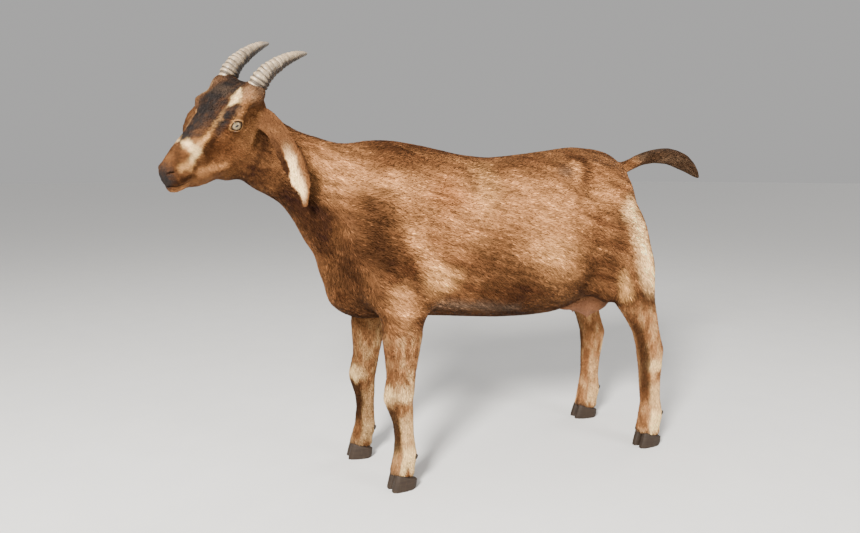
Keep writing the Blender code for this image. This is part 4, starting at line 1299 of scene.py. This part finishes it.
def make_eye(side, finish):
    """An eyeball with its clear bulge in front, looking along the gaze."""
    centre, gaze, front, rise = eye_axes(side)
    bpy.ops.mesh.primitive_uv_sphere_add(segments=64, ring_count=40, radius=EYE_RADIUS - 0.0001)
    eye = bpy.context.active_object
    eye.name = f"eyeball_{side}"
    own = points_of(eye) / EYE_RADIUS
    bulge = 1 + 0.05 * (1 - step(0.35, 0.95, np.arccos(np.clip(own[:, 2], -1, 1))))
    axes = np.array((front, rise, gaze))
    set_points(eye, from_head(centre + (own * bulge[:, None] * EYE_RADIUS) @ axes))
    set_attribute(eye, "in_eye", own)
    if np.linalg.det(axes) < 0:
        eye.data.flip_normals()
    placed_as(eye, "eye", finish, f"eye_{side}")


def horn_core(points, side):
    """How far along its horn each point lies, from 0 at the root to 1, and the core's place."""
    knots = np.array(HORN_LINE) / 1000 * (SIDES[side], 1, 1)
    gone = np.concatenate(([0], np.cumsum(np.linalg.norm(np.diff(knots, axis=0), axis=1))))
    fine = np.linspace(0, 1, 160)
    curves = [np.polyfit(gone / gone[-1], column, 3) for column in knots.T]
    line = from_head(np.column_stack([np.polyval(curve, fine) for curve in curves]))
    ways = unit(np.gradient(line, axis=0))
    nearest = np.argmin(np.linalg.norm(points[:, None] - line[None], axis=2), axis=1)
    ahead = np.sum((points - line[nearest]) * ways[nearest], axis=1)
    return fine[nearest] + ahead / gone[-1], line[nearest] + ways[nearest] * ahead[:, None]


def make_horn(side, finish):
    """A horn swept back from the poll, with rings close together toward its root, painted lighter
    on its upper front and darker below.
    """
    horn = node_copy(f"horn_{side}", 0.0, f"ringed_horn_{side}")
    remesh(horn, HORN_GRID)
    points = Net(horn).spread(points_of(horn), 60)
    along, centre = horn_core(points, side)
    out = unit(points - centre)
    wander = 0.01 * clouds(points, 0.03, SIDES[side], 2)
    turn = np.maximum(along + wander, 0) ** 0.9 * HORN_RINGS
    phase = turn - np.floor(turn)
    edge = np.minimum(phase, 1 - phase)
    groove = bell(edge, 0, 0.17)
    # Darker in the grooves between the rings, most toward the root.
    groove_darkening = bell(edge, 0, 0.3) * (1 - 0.8 * step(0.1, 0.62, along))
    fade = 1 - 0.75 * step(0.35, 0.8, along) - 0.25 * step(0.8, 0.95, along)
    swell = 0.5 + 0.5 * np.cos((phase - 0.5) * 2 * math.pi)
    ring_by_ring = np.column_stack((np.floor(turn), out[:, 0], out[:, 2]))
    uneven = 0.85 + 0.45 * clouds(ring_by_ring, 0.8, 6, 2)
    height = (0.0019 - 0.0009 * along) * fade * uneven * step(0.02, 0.06, along)
    narrower = 0.13 * np.linalg.norm(points - centre, axis=1) * (1 - step(0.08, 0.34, along))
    points = points + out * (height * (swell * 0.8 - groove * 0.75) - narrower)[:, None]
    skull = from_head([(0.026 * SIDES[side], -0.034, 0.004)])[0]
    points = points + (skull - points) * (0.26 * (1 - step(0.03, 0.15, along)))[:, None]
    # Painted light: the horn lighter where it faces up and forward, darker below.
    upper = out @ np.array((0.25, -0.5, 0.82))
    light = 0.28 + 0.4 * clouds(points, 0.012, 5, 3) + 0.9 * np.clip(upper, -0.6, 1)
    set_points(horn, points)
    set_attribute(horn, "tint", tinted((0.022, 0.015, 0.01), ((0.33, 0.25, 0.16), light)))
    set_attribute(horn, "ring", np.clip((0.6 * groove * fade + groove_darkening) * uneven, 0, 1))
    set_attribute(horn, "along", along)
    set_attribute(horn, "fibre", np.column_stack((out[:, 0] * 26, out[:, 2] * 26, along * 7)))
    placed_as(horn, "horn", finish, f"horn_{side}")


def make_hoof(name, finish):
    """One toe's hoof: rounded walls with growth rings, a flat sole and its top under the hair."""
    hoof = node_copy(name, 0.0, name.replace("hoof_", "toe_"))
    remesh(hoof, HOOF_GRID)
    low, high = (np.array(corner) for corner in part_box(name))
    points = points_of(hoof)
    sole = points[:, 2] < 0.0012
    points = Net(hoof).spread(points, 10, (~sole).astype(float))
    out = unit((points - (low + high) / 2) * (1, 1, 0))
    height = points[:, 2]
    rings = np.cos(height * 2 * math.pi / 0.0042 + 1.5 * clouds(points, 0.012, 6, 2))
    wall = step(0.003, 0.007, height) * (1 - step(high[2] - 0.008, high[2] - 0.003, height))
    points = points + out * (0.00022 * rings * wall)[:, None]
    points[:, 2] = np.where(sole, np.maximum(points[:, 2], 0.0), points[:, 2])
    top = step(high[2] - 0.01, high[2] - 0.002, height)
    points = points + np.array((0, 0, 0.0045)) * top[:, None] - out * (0.0016 * top)[:, None]
    set_points(hoof, points)
    set_attribute(hoof, "low", 1 - step(0.002, 0.012, height))
    placed_as(hoof, "hoof", finish, name)


def make_dewclaw(name, skin_tree, finish):
    """A small horny claw behind the pastern, with its root in the leg."""
    claw = node_copy(name, 0.0, name.replace("dewclaw_", "claw_"))
    remesh(claw, CLAW_GRID)
    points = Net(claw).spread(points_of(claw), 6)
    near, out, _, _ = skin_tree.find_nearest(Vector(points.mean(axis=0)))
    points = points + (np.array(near) + np.array(out) * -0.0012 - points.mean(axis=0))
    points = points + np.random.default_rng(3).normal(0, 0.00005, points.shape)
    set_points(claw, points)
    set_attribute(claw, "low", np.full(len(points), 0.6))
    placed_as(claw, "hoof", finish, name)


def make_horny_parts(skin):
    """Eyes, horns, hooves and dewclaws."""
    horn, hoof, eye = horn_finish(), hoof_finish(), eye_finish()
    tree = tree_of(skin)
    for side in SIDES:
        make_eye(side, eye)
        make_horn(side, horn)
    for name in sorted(NODES):
        if name.startswith("hoof_"):
            make_hoof(name, hoof)
        elif name.startswith("dewclaw_"):
            make_dewclaw(name, tree, hoof)


# Stage -----------------------------------------------------------------------------------


def stood(thing, place, way):
    """Puts a lamp or the camera into the scene, facing along a way."""
    bpy.context.scene.collection.objects.link(thing)
    thing.location = place
    thing.rotation_euler = Vector(way).to_track_quat("-Z", "Y").to_euler()
    return thing


def light(name, place, target, size, power, colour, kind="AREA"):
    """A round soft lamp, or a sun whose size is its angle."""
    lamp = bpy.data.lights.new(name, kind)
    lamp.energy, lamp.color = power, colour
    if kind == "AREA":
        lamp.shape, lamp.size = "DISK", size
    else:
        lamp.angle = size
    stood(bpy.data.objects.new(name, lamp), place, Vector(target) - Vector(place))


def make_stage():
    bpy.ops.mesh.primitive_circle_add(vertices=96, radius=30.0, fill_type="NGON")
    floor = bpy.context.active_object
    floor.name = "floor"
    in_edit_mode(bpy.ops.mesh.inset, thickness=0.3)
    floor.data.materials.append(floor_finish())

    light("key_light", (2.5, -2.3, 2.3), (0, -0.1, 0.55), 0.9, 550, (1.0, 0.96, 0.9))
    light("fill_light", (2.6, 1.8, 1.2), (0, 0.1, 0.45), 1.6, 80, (1.0, 0.96, 0.92))
    light("rim_light", (-0.9, 2.9, 1.6), (0, 0, 0), 0.5, 0.7, (1.0, 0.96, 0.9), "SUN")
    light("top_light", (-0.6, -0.6, 3.4), (0, 0, 0.5), 1.8, 15, (1.0, 1.0, 1.0))
    world = bpy.data.worlds.new("pale_room")
    world.use_nodes = True
    sky = world.node_tree.nodes["Background"].inputs
    sky["Color"].default_value = (1.0, 0.99, 0.98, 1)
    sky["Strength"].default_value = 0.46
    bpy.context.scene.world = world

    eye = bpy.data.cameras.new("camera")
    eye.lens, eye.sensor_width = LENS, SENSOR
    level = Vector(CAMERA_WAY).normalized() * math.cos(CAMERA_DROP)
    way = level - Vector((0, 0, math.sin(CAMERA_DROP)))
    bpy.context.scene.camera = stood(bpy.data.objects.new("camera", eye), CAMERA_AT, way)


make_stage()
make_horny_parts(make_skin_and_coat())
